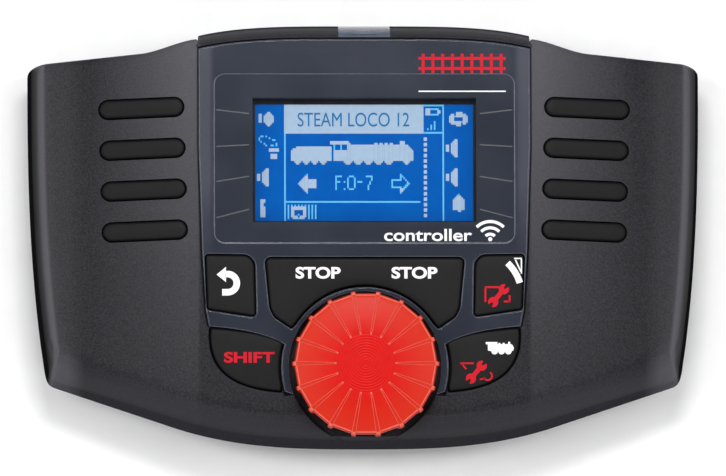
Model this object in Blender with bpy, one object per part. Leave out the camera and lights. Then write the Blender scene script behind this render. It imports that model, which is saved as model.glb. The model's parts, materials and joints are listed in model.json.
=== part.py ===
"""Handheld wireless controller for model trains, lying on its back with its face up.

Lengths are in millimetres here and become metres when a mesh is made. X runs across the controller, Y from
the control knob up to the display, and Z up from the flat back. The origin is the middle of the bottom.
"""

import math

import bpy
import bmesh
from mathutils import Matrix

MM = 0.001

# Driving dimensions of the housing
HALF_WIDTH = 79.55
HALF_DEPTH = 50.05
PARTING_Z = 12.0
FACE_Z = 29.5
WING_DROP = 6.0
WALL = 2.0
GAP = 0.3
SIDE_TAPER = 4.6

# Widths of the rolls round the edge of the face, and how square a roll is
SIDE_ROLL = 4.4
COVER_ROLL = 4.4
WING_ROLL = 0.8
BAND_WIDTH = 6.3
BAND_GAIN = 2.4
ROLL_POWER = 2.4

# Seam between the wings and the clear cover, from its straight part down to the keys
SEAM_X = 39.1
SEAM = [(SEAM_X, 20.0), (38.3, -4.2), (37.4, -19.0), (36.7, -22.5)]

# Control knob
KNOB_Y = -32.2
KNOB_RADIUS = 16.9
RIB_HEIGHT = 0.5
RIB_COUNT = 18
KNOB_TOP_Z = 40.0
KNOB_BASE_Z = 26.6
WELL_RADIUS = 17.7
WELL_FLOOR_Z = 24.9
WEB_RADIUS = 19.3

# Layers under the clear cover
COVER_UNDERSIDE_Z = 27.5
LEDGE_Z = 27.2
PLATE_UNDERSIDE_Z = 25.3
BOARD_Z = 19.3
BOARD_THICKNESS = 1.6
BOARD_TOP_Z = BOARD_Z + BOARD_THICKNESS

# Keys
KEY_TOP_Z = 29.9
KEY_FOOT_Z = 23.4
KEY_FLANGE_Z = 25.0
KEY_FLANGE = 0.8
KEY_BEVEL = 0.4
FUNCTION_KEY_LENGTH = 19.8
FUNCTION_KEY_WIDTH = 4.3
FUNCTION_KEY_PITCH = 9.7
FUNCTION_KEY_TOP_Y = 29.25
FUNCTION_KEY_X = 52.6
FUNCTION_KEY_DRIFT = 0.27
FUNCTION_KEY_TILT = math.radians(1.8)
FUNCTION_KEYS_PER_SIDE = 4

# Display
WINDOW_HALF_WIDTH = 26.4
WINDOW_LOW_Y = 2.2
WINDOW_HIGH_Y = 31.7

# Battery bay, for four round cells side by side
CELL_RADIUS = 7.25
CELL_LENGTH = 49.2
CELL_PITCH = 15.2
CELL_COUNT = 4
CELL_Z = 10.3
BAY_HALF_WIDTH = 31.2
BAY_HALF_LENGTH = 28.8
BAY_ROOF_Z = 17.8
BAY_WALL = 1.2
DOOR_HALF_WIDTH = 33.1
DOOR_LOW_Y = -38.5
DOOR_HIGH_Y = 30.6
DOOR_Z = (0.4, 2.2)

# Case screws, each in a boss that joins the back shell to the front shell
SCREW_PLACES = [(66.2, 27.0), (60.0, -21.0), (39.2, 36.5)]
POST_RADIUS = 2.9
BOSS_RADIUS = 3.9
SCREW_HEAD_Z = 1.6


def clear_scene():
    for thing in list(bpy.data.objects):
        bpy.data.objects.remove(thing, do_unlink=True)


def make_material(name, colour, roughness, metallic=0.0, alpha=1.0):
    material = bpy.data.materials.new(name)
    material.use_nodes = True
    shader = material.node_tree.nodes["Principled BSDF"]
    shader.inputs["Base Color"].default_value = (*colour, 1.0)
    shader.inputs["Roughness"].default_value = roughness
    shader.inputs["Metallic"].default_value = metallic
    shader.inputs["Alpha"].default_value = alpha
    material.diffuse_color = (*colour, alpha)
    return material


def add_object(name, vertices, faces, material=None, smooth=False):
    """One closed mesh from millimetre points; with no material it is a cutter, which isn't part of the object."""
    mesh = bpy.data.meshes.new(name)
    mesh.from_pydata([(x * MM, y * MM, z * MM) for x, y, z in vertices], [], faces)
    shape = bmesh.new()
    shape.from_mesh(mesh)
    bmesh.ops.recalc_face_normals(shape, faces=shape.faces)
    bmesh.ops.triangulate(shape, faces=shape.faces)
    shape.to_mesh(mesh)
    shape.free()
    thing = bpy.data.objects.new(name, mesh)
    bpy.context.scene.collection.objects.link(thing)
    if material is None:
        thing.hide_render = True
        thing.display_type = "WIRE"
    else:
        mesh.materials.append(material)
    if smooth:
        mesh.shade_smooth()
        mesh.set_sharp_from_angle(angle=math.radians(35))
    return thing


def lofted(name, rings, material=None, smooth=False):
    """Closed solid through rings of points, lowest ring first, with a flat cap on each end."""
    count = len(rings[0])
    vertices = [point for ring in rings for point in ring]
    faces = [list(reversed(range(count)))]
    for level in range(len(rings) - 1):
        start = level * count
        for i in range(count):
            j = (i + 1) % count
            faces.append([start + i, start + j, start + count + j, start + count + i])
    faces.append([(len(rings) - 1) * count + i for i in range(count)])
    return add_object(name, vertices, faces, material, smooth)


def at_height(outline, z):
    return [(x, y, z) for x, y in outline]


def prism(name, outline, low, high, material=None):
    return lofted(name, [at_height(outline, low), at_height(outline, high)], material)


def rectangle(low_x, high_x, low_y, high_y):
    return [(low_x, low_y), (high_x, low_y), (high_x, high_y), (low_x, high_y)]


def box(name, x, y, z, material=None):
    return prism(name, rectangle(*x, *y), *z, material)


def turned(name, profile, material=None, centre=(0.0, 0.0), segments=24):
    """Solid turned about a vertical axis from a profile of (radius, height) that starts and ends on the axis."""
    vertices = []
    rows = []
    for radius, height in profile:
        if radius == 0:
            rows.append([len(vertices)] * segments)
            vertices.append((centre[0], centre[1], height))
            continue
        rows.append([len(vertices) + i for i in range(segments)])
        for i in range(segments):
            angle = math.tau * i / segments
            vertices.append((centre[0] + radius * math.cos(angle), centre[1] + radius * math.sin(angle), height))
    closed_loop = profile[0][0] > 0
    pairs = list(zip(rows, rows[1:]))
    if closed_loop:
        pairs.append((rows[-1], rows[0]))
    faces = []
    for low, high in pairs:
        for i in range(segments):
            j = (i + 1) % segments
            corners = [low[i], low[j], high[j], high[i]]
            faces.append(list(dict.fromkeys(corners)))
    return add_object(name, vertices, faces, material, smooth=True)


def rounded(corners, steps=4):
    """Outline from (x, y, radius) corners, with each corner drawn as an arc."""
    outline = []
    count = len(corners)
    for i, (x, y, radius) in enumerate(corners):
        before = corners[i - 1]
        after = corners[(i + 1) % count]
        to_before = (before[0] - x, before[1] - y)
        to_after = (after[0] - x, after[1] - y)
        long_before = math.hypot(*to_before)
        long_after = math.hypot(*to_after)
        a = (to_before[0] / long_before, to_before[1] / long_before)
        b = (to_after[0] / long_after, to_after[1] / long_after)
        half = math.acos(max(-1.0, min(1.0, a[0] * b[0] + a[1] * b[1]))) / 2
        reach = radius / math.tan(half) if radius else 0.0
        if reach == 0.0:
            outline.append((x, y))
            continue
        for step in range(steps + 1):
            t = step / steps
            weight_a = (1 - t) ** 2
            weight_b = t ** 2
            outline.append((x + reach * (a[0] * weight_a + b[0] * weight_b),
                            y + reach * (a[1] * weight_a + b[1] * weight_b)))
    return outline


def grown(outline, distance):
    """The outline moved outwards by a distance, or inwards by a negative one."""
    result = []
    count = len(outline)
    for i in range(count):
        before = outline[i - 1]
        here = outline[i]
        after = outline[(i + 1) % count]
        first = (here[0] - before[0], here[1] - before[1])
        second = (after[0] - here[0], after[1] - here[1])
        first_length = math.hypot(*first)
        second_length = math.hypot(*second)
        normal_x = first[1] / first_length + second[1] / second_length
        normal_y = -first[0] / first_length - second[0] / second_length
        size = (normal_x ** 2 + normal_y ** 2) / 2
        result.append((here[0] + distance * normal_x / size, here[1] + distance * normal_y / size))
    return result


def mirrored(outline):
    return [(-x, y) for x, y in reversed(outline)]


def arc(radius, start, end, steps, centre=(0.0, KNOB_Y)):
    """Points on a circle, about the knob's axis unless told otherwise, between two angles in degrees."""
    points = []
    for i in range(steps + 1):
        angle = math.radians(start + (end - start) * i / steps)
        points.append((centre[0] + radius * math.cos(angle), centre[1] + radius * math.sin(angle)))
    return points


def boolean(target, tool, operation="DIFFERENCE", solver="EXACT"):
    modifier = target.modifiers.new(operation.lower(), "BOOLEAN")
    modifier.operation = operation
    modifier.solver = solver
    modifier.object = tool
    tool.hide_render = True
    tool.display_type = "WIRE"


# Plan of the housing

def smooth_step(t):
    t = max(0.0, min(1.0, t))
    return t * t * (3 - 2 * t)


def crown(x):
    """The upper edge over the cover."""
    return HALF_DEPTH - 2.3 * (x / SEAM_X) ** 4


def top_edge(x):
    """The upper edge: a shallow crown over the cover, a concave sweep, then a wing that falls away."""
    x = abs(x)
    if x < SEAM_X:
        return crown(x)
    return 41.9 + 0.09 * (62.3 - x) + 2.2 * smooth_step((53.0 - x) / 13.7)


def bottom_edge(x):
    """The lower edge: a belly round the knob that runs into a straight line up to each corner."""
    x = abs(x)
    if x < 45.0:
        return -HALF_DEPTH + 5.15 * (x / 45.0) ** 2.9
    return -44.9 + 0.3345 * (x - 45.0)


def side_reach(level):
    """Half width at a level from 0, the bottom corner, to 1, the top corner."""
    return HALF_WIDTH - SIDE_TAPER * (1 - level) ** 2.7


def plan_point(u, v, side, top, bottom):
    """Point of the plan, with u and v from -1 to 1 across and up it, inset from the edges by three distances."""
    level = (1 + v) / 2
    x = u * (side_reach(level) - side)
    low = bottom_edge(x) + bottom
    high = top_edge(x) - top
    return x, low + level * (high - low)


def plan_loop(scale=1.0):
    """Unit-square parameters of a closed loop round the plan, with small round corners."""
    loop = []
    corner_u = 0.03
    corner_v = 0.06
    along = 18
    up = 8
    for quarter, (sign_u, sign_v) in enumerate([(1, -1), (1, 1), (-1, 1), (-1, -1)]):
        for step in range(4):
            angle = math.radians(30 * step)
            if sign_u * sign_v > 0:
                cos, sin = math.cos(angle), math.sin(angle)
            else:
                cos, sin = math.sin(angle), math.cos(angle)
            loop.append((sign_u * (1 - corner_u * (1 - cos)), sign_v * (1 - corner_v * (1 - sin))))
        if quarter % 2 == 0:
            reach = 1 - corner_v
            for i in range(1, up):
                loop.append((sign_u, sign_v * reach * (1 - 2 * i / up)))
        else:
            reach = 1 - corner_u
            for i in range(1, along):
                loop.append((sign_u * reach * (1 - 2 * i / along), sign_v))
    return [(u * scale, v * scale) for u, v in loop]


def face_height(x):
    """Height of the face before its edges roll down: level between the seams, falling along each wing."""
    beyond = max(0.0, abs(x) - SEAM_X)
    return FACE_Z - WING_DROP * (beyond / (HALF_WIDTH - SEAM_X)) ** 1.5


def edge_insets(u, fraction):
    """How far inside the outline the edge roll is at a fraction of its width, at the side, top and bottom."""
    middle = smooth_step((0.5 - abs(u)) / 0.03)
    top_roll = WING_ROLL + (COVER_ROLL - WING_ROLL) * middle
    bottom_roll = BAND_WIDTH + BAND_GAIN * abs(u) ** 4
    return SIDE_ROLL * fraction, top_roll * fraction, bottom_roll * fraction


def face_ring(fraction, scale, inset, height):
    """One ring of the face, where height(x, rise) gives Z and rise is the roll's height from 0 to 1."""
    rise = (1 - (1 - fraction) ** ROLL_POWER) ** (1 / ROLL_POWER)
    ring = []
    for u, v in plan_loop(scale):
        side, top, bottom = edge_insets(u, fraction)
        x, y = plan_point(u, v, side + inset, top + inset, bottom + inset)
        ring.append((x, y, height(x, rise)))
    return ring


def face_solid(name, inset, floor, height):
    """Solid under the face, from its floor up to the face less an inset on its edges."""
    rings = []
    for fraction in (0.0, 0.05, 0.18, 0.4, 0.7, 1.0):
        rings.append(face_ring(fraction, 1.0, inset, height))
    for scale in (0.9, 0.72, 0.5, 0.25):
        rings.append(face_ring(1.0, scale, inset, height))
    rings[0] = [(x, y, floor) for x, y, z in rings[0]]
    return lofted(name, rings)


def outer_height(x, rise):
    return PARTING_Z + (face_height(x) - PARTING_Z) * rise


def inner_height(x, rise):
    height = PARTING_Z + (face_height(x) - WALL - PARTING_Z) * rise
    if abs(x) < 42.0:
        height = min(height, PLATE_UNDERSIDE_Z)
    return height


# Outlines of the keys and the cover

def stop_key_outline():
    return ([(23.3, -6.9), (22.2, -18.2), (21.2, -20.2), (17.3, -22.8)]
            + arc(WEB_RADIUS, 33, 147, 14)
            + [(-17.3, -22.8), (-21.2, -20.2), (-22.2, -18.2), (-23.3, -6.9), (-22.4, -6.35), (22.4, -6.35)])


def back_key_outline():
    return rounded([(-37.5, -5.6, 0.7), (-37.0, -18.4, 0.7), (-25.8, -20.1, 0.7), (-26.1, -5.75, 2.7)])


def shift_key_outline():
    return ([(-36.4, -22.9), (-36.4, -26.5), (-35.7, -29.6), (-33.9, -32.8), (-31.1, -35.1), (-27.3, -36.8),
             (-19.6, -37.9)]
            + arc(WEB_RADIUS + 0.8, 194, 163, 6)
            + [(-23.3, -24.8), (-27.3, -23.9)])


def key_outlines():
    """Outline of each key of the middle block, by name."""
    return {
        "stop_key": list(reversed(stop_key_outline())),
        "back_key": back_key_outline(),
        "turnout_key": mirrored(back_key_outline()),
        "shift_key": shift_key_outline(),
        "loco_key": mirrored(shift_key_outline()),
    }


def cover_outline(opening_radius, margin=0.0):
    """The clear cover: between the seams, up to the top roll, and round the knob and the lower keys."""
    side = [(x + margin, y) for x, y in reversed(SEAM)]
    top = []
    for share in (1, 0.85, 0.7, 0.5, 0.25):
        top.append((share * (SEAM_X + margin), crown(share * SEAM_X) - COVER_ROLL + margin))
    turn = math.degrees(margin / WELL_RADIUS) * 3
    opening = arc(opening_radius, 201 + turn, -21 - turn, 26)
    arm = arc(WEB_RADIUS + 0.4 + margin, -17 - turn, 17, 6)
    right = arm + [(23.4, -24.4 - margin), (27.3, -23.5 - margin)] + side + top
    peak = [(0, crown(0) - COVER_ROLL + margin)]
    return opening + right + peak + mirrored(right)


def function_key_place(side, index):
    y = FUNCTION_KEY_TOP_Y - FUNCTION_KEY_PITCH * index
    x = side * (FUNCTION_KEY_X - FUNCTION_KEY_DRIFT * index)
    return x, y


def function_key_outline(side, index, margin=0.0):
    """A slot shape that rises a little towards the middle of the controller."""
    x, y = function_key_place(side, index)
    radius = FUNCTION_KEY_WIDTH / 2 + margin
    reach = (FUNCTION_KEY_LENGTH - FUNCTION_KEY_WIDTH) / 2
    tilt = -side * FUNCTION_KEY_TILT
    outline = []
    for end in (1, -1):
        for step in range(7):
            angle = math.radians(-90 + 30 * step) + (0 if end > 0 else math.pi)
            local_x = end * reach + radius * math.cos(angle)
            local_y = radius * math.sin(angle)
            outline.append((x + local_x * math.cos(tilt) - local_y * math.sin(tilt),
                            y + local_x * math.sin(tilt) + local_y * math.cos(tilt)))
    return outline


# Housing

def screw_places():
    return [(side * x, y) for x, y in SCREW_PLACES for side in (-1, 1)]


def build_front_shell(plastic):
    shell = face_solid("front_shell", 0.0, PARTING_Z, outer_height)
    shell.data.materials.append(plastic)
    shell.hide_render = False
    shell.display_type = "TEXTURED"
    hollow = face_solid("front_hollow", WALL + 0.2, PARTING_Z - 1, inner_height)
    well_block = turned("well_block", [(0, 23.0), (WELL_RADIUS + 1.4, 23.0), (WELL_RADIUS + 1.4, 45.0), (0, 45.0)],
                        centre=(0, KNOB_Y), segments=48)
    boolean(hollow, well_block)
    for i, (x, y) in enumerate(screw_places()):
        post = turned(f"front_post_{i}", [(0, PARTING_Z + 2), (POST_RADIUS, PARTING_Z + 2), (POST_RADIUS, 45), (0, 45)],
                      centre=(x, y), segments=16)
        boolean(hollow, post)
    openings = [hollow,
                turned("well_cut", [(0, WELL_FLOOR_Z), (WELL_RADIUS, WELL_FLOOR_Z), (WELL_RADIUS, 45), (0, 45)],
                       centre=(0, KNOB_Y), segments=48),
                turned("encoder_hole", [(0, 20), (9.6, 20), (9.6, 30), (0, 30)], centre=(0, KNOB_Y)),
                prism("cover_rebate", cover_outline(WELL_RADIUS - 3, GAP), LEDGE_Z, 45),
                box("display_opening", (-34.9, 34.9), (-1.9, 42.0), (20, 45)),
                box("card_slot", (-6.3, 6.3), (44.5, 60.0), (23.2, 24.4))]
    for name, outline in key_outlines().items():
        openings.append(prism(f"{name}_opening", grown(outline, GAP), 20, 45))
    for side in (-1, 1):
        for index in range(FUNCTION_KEYS_PER_SIDE):
            openings.append(prism(f"slot_{side}_{index}", function_key_outline(side, index, GAP), 20, 45))
    for i, place in enumerate(screw_places()):
        openings.append(turned(f"pilot_hole_{i}", [(0, 10), (1.5, 10), (1.5, 21), (0, 21)], centre=place, segments=12))
    for opening in openings:
        boolean(shell, opening, solver="MANIFOLD")


def build_clear_cover(clear):
    cover = face_solid("clear_cover", 0.0, PARTING_Z, outer_height)
    cover.data.materials.append(clear)
    cover.hide_render = False
    cover.display_type = "TEXTURED"
    limits = prism("cover_limits", cover_outline(WELL_RADIUS + GAP), COVER_UNDERSIDE_Z, 45)
    boolean(cover, limits, "INTERSECT", solver="MANIFOLD")
    for name in ("stop_key", "back_key", "turnout_key"):
        boolean(cover, prism(f"{name}_window", grown(key_outlines()[name], GAP), 20, 45), solver="MANIFOLD")


def back_ring(inset, z):
    ring = []
    for u, v in plan_loop():
        x, y = plan_point(u, v, inset, inset, inset)
        ring.append((x, y, z))
    return ring


def build_back_shell(plastic):
    """Tub with rounded flanks, the battery bay standing in it, the door's channel and a boss for each screw."""
    outer = [(12.5, 0.0), (11.0, 0.4), (8.4, 1.6), (4.2, 4.5), (1.0, 8.5), (0.0, PARTING_Z - GAP)]
    inner = [(14.0, 2.2), (10.2, 3.4), (6.2, 6.0), (3.1, 9.2), (2.2, PARTING_Z + 1)]
    shell = lofted("back_shell", [back_ring(inset, z) for inset, z in outer], plastic, smooth=True)
    block_x = (-BAY_HALF_WIDTH - 3.3, BAY_HALF_WIDTH + 3.3)
    block_y = BAY_HALF_LENGTH + 2.5
    hollow = lofted("back_hollow", [back_ring(inset, z) for inset, z in inner])
    added = [box("bay_block", block_x, (-block_y, block_y), (1.0, BAY_ROOF_Z + BAY_WALL)),
             box("channel_block", block_x, (-41.0, 34.6), (1.0, 4.6))]
    removed = [box("bay", (-BAY_HALF_WIDTH, BAY_HALF_WIDTH), (-BAY_HALF_LENGTH, BAY_HALF_LENGTH), (-1, BAY_ROOF_Z)),
               box("door_channel", (-DOOR_HALF_WIDTH - GAP, DOOR_HALF_WIDTH + GAP), (-60.0, DOOR_HIGH_Y + GAP),
                   (-1, DOOR_Z[1] + GAP)),
               box("door_tongue_slot", (-10.6, 10.6), (DOOR_HIGH_Y - 1, DOOR_HIGH_Y + 3.0), (0.9, 2.9))]
    boss_foot = 2.0
    boss_top = PARTING_Z + 1.7
    for i, place in enumerate(screw_places()):
        added.append(turned(f"boss_{i}", [(0, boss_foot), (BOSS_RADIUS, boss_foot), (BOSS_RADIUS, boss_top),
                                          (0, boss_top)], centre=place, segments=16))
        removed.append(turned(f"screw_hole_{i}", [(0, -1), (3.1, -1), (3.1, 4.2), (1.8, 4.2), (1.8, 20), (0, 20)],
                              centre=place, segments=16))
    boolean(shell, hollow, solver="MANIFOLD")
    for block in added:
        boolean(shell, block, "UNION", solver="MANIFOLD")
    for hole in removed:
        boolean(shell, hole, solver="MANIFOLD")


def build_battery_door(plastic):
    door = prism("battery_door", rounded([(-DOOR_HALF_WIDTH, DOOR_LOW_Y, 2.0), (DOOR_HALF_WIDTH, DOOR_LOW_Y, 2.0),
                                          (DOOR_HALF_WIDTH, DOOR_HIGH_Y, 0.6), (-DOOR_HALF_WIDTH, DOOR_HIGH_Y, 0.6)]),
                 *DOOR_Z, plastic)
    boolean(door, box("door_tongue", (-10.0, 10.0), (DOOR_HIGH_Y - 2, DOOR_HIGH_Y + 2.4), (1.3, DOOR_Z[1])), "UNION")
    for i in range(5):
        y = DOOR_LOW_Y + 4.0 + 2.2 * i
        boolean(door, box(f"grip_groove_{i}", (-9.0, 9.0), (y, y + 1.0), (-1, DOOR_Z[0] + 0.5)))


def build_case_screws(steel):
    for i, (x, y) in enumerate(screw_places()):
        profile = [(0, SCREW_HEAD_Z + 1.0), (0.7, SCREW_HEAD_Z), (2.2, SCREW_HEAD_Z), (2.7, SCREW_HEAD_Z + 0.6),
                   (2.7, 3.9), (1.25, 3.9), (1.25, 19.0), (0, 20.0)]
        turned(f"case_screw_{i + 1}", profile, steel, centre=(x, y), segments=12)


# Keys

def clear_of_well(outline):
    """The outline with each point that would run into the knob's well moved out to the web round it."""
    least = WEB_RADIUS + 0.2
    moved = []
    for x, y in outline:
        push = max(1.0, least / math.hypot(x, y - KNOB_Y))
        moved.append((x * push, KNOB_Y + (y - KNOB_Y) * push))
    return moved


def build_middle_keys(plastic):
    for name, outline in key_outlines().items():
        flange = clear_of_well(grown(outline, KEY_FLANGE))
        lofted(name, [at_height(flange, KEY_FOOT_Z),
                      at_height(flange, KEY_FLANGE_Z),
                      at_height(outline, KEY_FLANGE_Z + 0.01),
                      at_height(outline, KEY_TOP_Z - KEY_BEVEL),
                      at_height(grown(outline, -KEY_BEVEL), KEY_TOP_Z)], plastic)


def flange_height(x):
    """Height of a function key's flange, just under the wing and under the plate next to the seam."""
    return min(face_height(x) - WALL - 2 * GAP, PLATE_UNDERSIDE_Z - GAP)


def build_function_keys(plastic):
    for side, word in ((-1, "left"), (1, "right")):
        for index in range(FUNCTION_KEYS_PER_SIDE):
            flange = function_key_outline(side, index, KEY_FLANGE - GAP)
            cap = function_key_outline(side, index)
            shoulder = function_key_outline(side, index, -0.6)
            spine = function_key_outline(side, index, -1.5)
            rings = [at_height(flange, 20.6),
                     [(x, y, flange_height(x) - 0.7) for x, y in flange],
                     [(x, y, flange_height(x)) for x, y in cap],
                     [(x, y, face_height(x) + 0.2) for x, y in cap],
                     [(x, y, face_height(x) + 0.7) for x, y in shoulder],
                     [(x, y, face_height(x) + 0.9) for x, y in spine]]
            lofted(f"function_key_{word}_{index + 1}", rings, plastic, smooth=True)


def build_key_mats(silicone, board):
    """Silicone sheets under the keys, with a raised pad for each key, and the small boards under the wings."""
    middle = prism("key_mat_middle", [(-37.0, -36.5), (-19.0, -37.5), (-19.0, -21.5), (19.0, -21.5), (19.0, -37.5),
                                      (37.0, -36.5), (37.0, -4.8), (-37.0, -4.8)], 21.2, 22.0, silicone)
    pads = {"stop": (0, -12), "back": (-31, -12), "turnout": (31, -12), "shift": (-27, -30), "loco": (27, -30)}
    for name, (x, y) in pads.items():
        boolean(middle, box(f"{name}_pad", (x - 3, x + 3), (y - 3, y + 3), (21.5, 22.4)), "UNION")
    for side, word in ((-1, "left"), (1, "right")):
        x, high = function_key_place(side, 0)
        low = function_key_place(side, FUNCTION_KEYS_PER_SIDE - 1)[1]
        mat = box(f"key_mat_{word}", (x - 8, x + 8), (low - 4, high + 4), (18.0, 18.9), silicone)
        for index in range(FUNCTION_KEYS_PER_SIDE):
            key_x, key_y = function_key_place(side, index)
            boolean(mat, box(f"pad_{word}_{index}", (key_x - 5, key_x + 5), (key_y - 1.5, key_y + 1.5), (18.5, 19.5)),
                    "UNION")
        box(f"key_board_{word}", (x - 8.5, x + 8.5), (low - 6, high + 4.5), (16.1, 17.7), board)


# Knob and its encoder

def knob_ring(radius, z, rib_height):
    """Ring of the knob, which stands out by the rib height at each rib."""
    samples = 6
    ring = []
    for i in range(RIB_COUNT * samples):
        angle = math.tau * i / (RIB_COUNT * samples)
        raised = rib_height if i % samples == 0 else 0.0
        reach = radius + raised
        ring.append((reach * math.cos(angle), KNOB_Y + reach * math.sin(angle), z))
    return ring


def build_knob(red):
    """Hollow ribbed knob: its side, its rounded shoulder, its face, and a boss inside that takes the shaft."""
    rings = [knob_ring(14.9, 37.6, 0), knob_ring(14.9, KNOB_BASE_Z, 0), knob_ring(KNOB_RADIUS, KNOB_BASE_Z, RIB_HEIGHT),
             knob_ring(KNOB_RADIUS - 0.3, 36.6, RIB_HEIGHT), knob_ring(KNOB_RADIUS - 0.9, 38.4, RIB_HEIGHT),
             knob_ring(KNOB_RADIUS - 2.4, 39.2, 0), knob_ring(9.0, 39.6, 0), knob_ring(3.0, KNOB_TOP_Z, 0)]
    knob = lofted("control_knob", rings, red, smooth=True)
    boss = turned("knob_boss", [(0, 33.8), (4.6, 33.8), (4.6, 38.2), (0, 38.2)], centre=(0, KNOB_Y))
    boolean(knob, boss, "UNION")
    boolean(knob, turned("knob_bore", [(0, 30), (3.3, 30), (3.3, 38.0), (0, 38.0)], centre=(0, KNOB_Y)))
    knob.data.transform(Matrix.Translation((0, -KNOB_Y * MM, 0)))
    knob.location = (0, KNOB_Y * MM, 0)


def build_encoder(steel, dark):
    axis = (0, KNOB_Y)
    turned("encoder_shaft", [(0, 23.3), (3.0, 23.3), (3.0, 37.2), (2.5, 37.7), (0, 37.7)], steel, centre=axis)
    turned("encoder_plunger", [(0, 22.0), (2.6, 22.0), (2.6, 23.0), (0, 23.0)], dark, centre=axis, segments=16)
    turned("encoder_rotor", [(3.3, 23.6), (5.0, 23.6), (5.0, 26.0), (3.3, 26.0)], dark, centre=axis)
    body = box("encoder_body", (-6.2, 6.2), (KNOB_Y - 6.2, KNOB_Y + 6.2), (BOARD_TOP_Z + GAP, 27.6), steel)
    boolean(body, turned("bushing", [(0, 27), (4.4, 27), (4.4, 32.6), (0, 32.6)], centre=axis), "UNION")
    boolean(body, turned("encoder_cavity", [(0, 20), (5.4, 20), (5.4, 26.4), (3.3, 26.4), (3.3, 40), (0, 40)],
                         centre=axis))


# Display, boards and the rest of the electronics

def build_display(dark, steel, light, glass, film):
    panel = prism("display_panel", rounded([(-34.5, -1.5, 2), (34.5, -1.5, 2), (34.5, 39.5, 2), (-34.5, 39.5, 2)]),
                  25.7, 27.1, dark)
    boolean(panel, box("display_window", (-WINDOW_HALF_WIDTH, WINDOW_HALF_WIDTH), (WINDOW_LOW_Y, WINDOW_HIGH_Y),
                       (20, 45)))
    frame = box("display_frame", (-31, 31), (-1.5, 36.5), (BOARD_TOP_Z + GAP, 25.4), steel)
    boolean(frame, box("display_tray", (-29.8, 29.8), (0.0, 35.0), (21.9, 40)))
    box("display_backlight", (-29.5, 29.5), (0.3, 34.7), (22.2, 23.6), light)
    box("display_glass", (-29.5, 29.5), (0.3, 34.7), (23.9, 25.4), glass)
    box("display_ribbon", (31.3, 34.5), (9.0, 26.0), (BOARD_TOP_Z + GAP, BOARD_TOP_Z + 0.6), film)


def build_boards(board, dark, steel, film):
    prism("main_board", [(-35.5, -18.5), (-20, -22), (-20, -43), (20, -43), (20, -22), (35.5, -18.5), (35.5, 43.5),
                         (-35.5, 43.5)], BOARD_Z, BOARD_TOP_Z, board)
    box("radio_module", (12, 28), (38.0, 43.0), (BOARD_TOP_Z + GAP, 23.4), steel)
    box("radio_antenna", (30, 34.5), (38.0, 43.0), (BOARD_TOP_Z + GAP, 22.0), film)
    box("processor", (-27, -17), (38.0, 43.0), (BOARD_TOP_Z + GAP, 22.4), dark)
    reader = box("card_reader", (-8, 8), (38.0, 45.5), (BOARD_TOP_Z + GAP, 25.0), dark)
    boolean(reader, box("card_gap", (-6.3, 6.3), (39.0, 60.0), (23.2, 24.4)))
    for side, word in ((-1, "left"), (1, "right")):
        low_x, high_x = sorted((side * 34.5, side * 44.5))
        box(f"ribbon_{word}", (low_x, high_x), (8, 16), (18.2, 18.6), film)


def build_batteries(cell_metal, steel):
    """Four cells, set head to tail, with a coil spring at each flat end and a contact plate at each nub."""
    for i in range(CELL_COUNT):
        x = CELL_PITCH * (i - (CELL_COUNT - 1) / 2)
        head = 1 if i % 2 == 0 else -1
        flat_end = -head * (BAY_HALF_LENGTH - 4.0)
        build_cell(f"battery_cell_{i + 1}", x, flat_end, head, cell_metal)
        build_spring(f"battery_spring_{i + 1}", x, -head * (BAY_HALF_LENGTH - 0.4), head, steel)
        plate_y = sorted((head * (BAY_HALF_LENGTH - 0.3), head * (BAY_HALF_LENGTH - 0.8)))
        box(f"battery_contact_{i + 1}", (x - 4.5, x + 4.5), plate_y, (6.0, 15.0), steel)


def build_cell(name, x, start, head, metal):
    """A round cell that lies along Y from its flat end, with a nub on its other end."""
    profile = [(0, 0), (6.6, 0), (CELL_RADIUS, 0.6), (CELL_RADIUS, CELL_LENGTH - 0.6), (6.6, CELL_LENGTH),
               (2.75, CELL_LENGTH), (2.75, CELL_LENGTH + 1.3), (0, CELL_LENGTH + 1.3)]
    cell = turned(name, profile, metal, segments=16)
    turn = math.radians(-90 if head > 0 else 90)
    cell.data.transform(Matrix.Translation((x * MM, start * MM, CELL_Z * MM)) @ Matrix.Rotation(turn, 4, "X"))


def build_spring(name, x, start, head, metal):
    """A coil of wire along Y between the bay's wall and a cell's flat end."""
    turns = 2.5
    steps = 24
    wire = 0.35
    length = 2.5
    rings = []
    for i in range(steps + 1):
        angle = math.tau * turns * i / steps
        along = start + head * (wire + length * i / steps)
        ring = []
        for k in range(4):
            tube = math.tau * k / 4
            radius = 3.2 + wire * math.cos(tube)
            ring.append((x + radius * math.cos(angle), along + wire * math.sin(tube), CELL_Z + radius * math.sin(angle)))
        rings.append(ring)
    lofted(name, rings, metal)


clear_scene()
SHELL_PLASTIC = make_material("charcoal_plastic", (0.040, 0.041, 0.046), 0.55)
KEY_PLASTIC = make_material("black_key_plastic", (0.020, 0.019, 0.019), 0.50)
CLEAR_PLASTIC = make_material("smoked_clear_plastic", (0.045, 0.055, 0.085), 0.08, alpha=0.45)
PANEL_PLASTIC = make_material("dark_panel_plastic", (0.035, 0.040, 0.055), 0.40)
RED_PLASTIC = make_material("red_plastic", (0.80, 0.012, 0.010), 0.30)
STEEL = make_material("steel", (0.62, 0.62, 0.60), 0.30, metallic=1.0)
DARK_PART = make_material("black_component", (0.012, 0.012, 0.013), 0.45)
BOARD = make_material("circuit_board", (0.010, 0.110, 0.040), 0.45)
FILM = make_material("amber_film", (0.45, 0.22, 0.04), 0.35)
SILICONE = make_material("grey_silicone", (0.30, 0.30, 0.31), 0.70)
GLASS = make_material("blue_display_glass", (0.0, 0.09, 0.38), 0.10)
LIGHT_GUIDE = make_material("white_light_guide", (0.85, 0.87, 0.90), 0.30)
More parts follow.
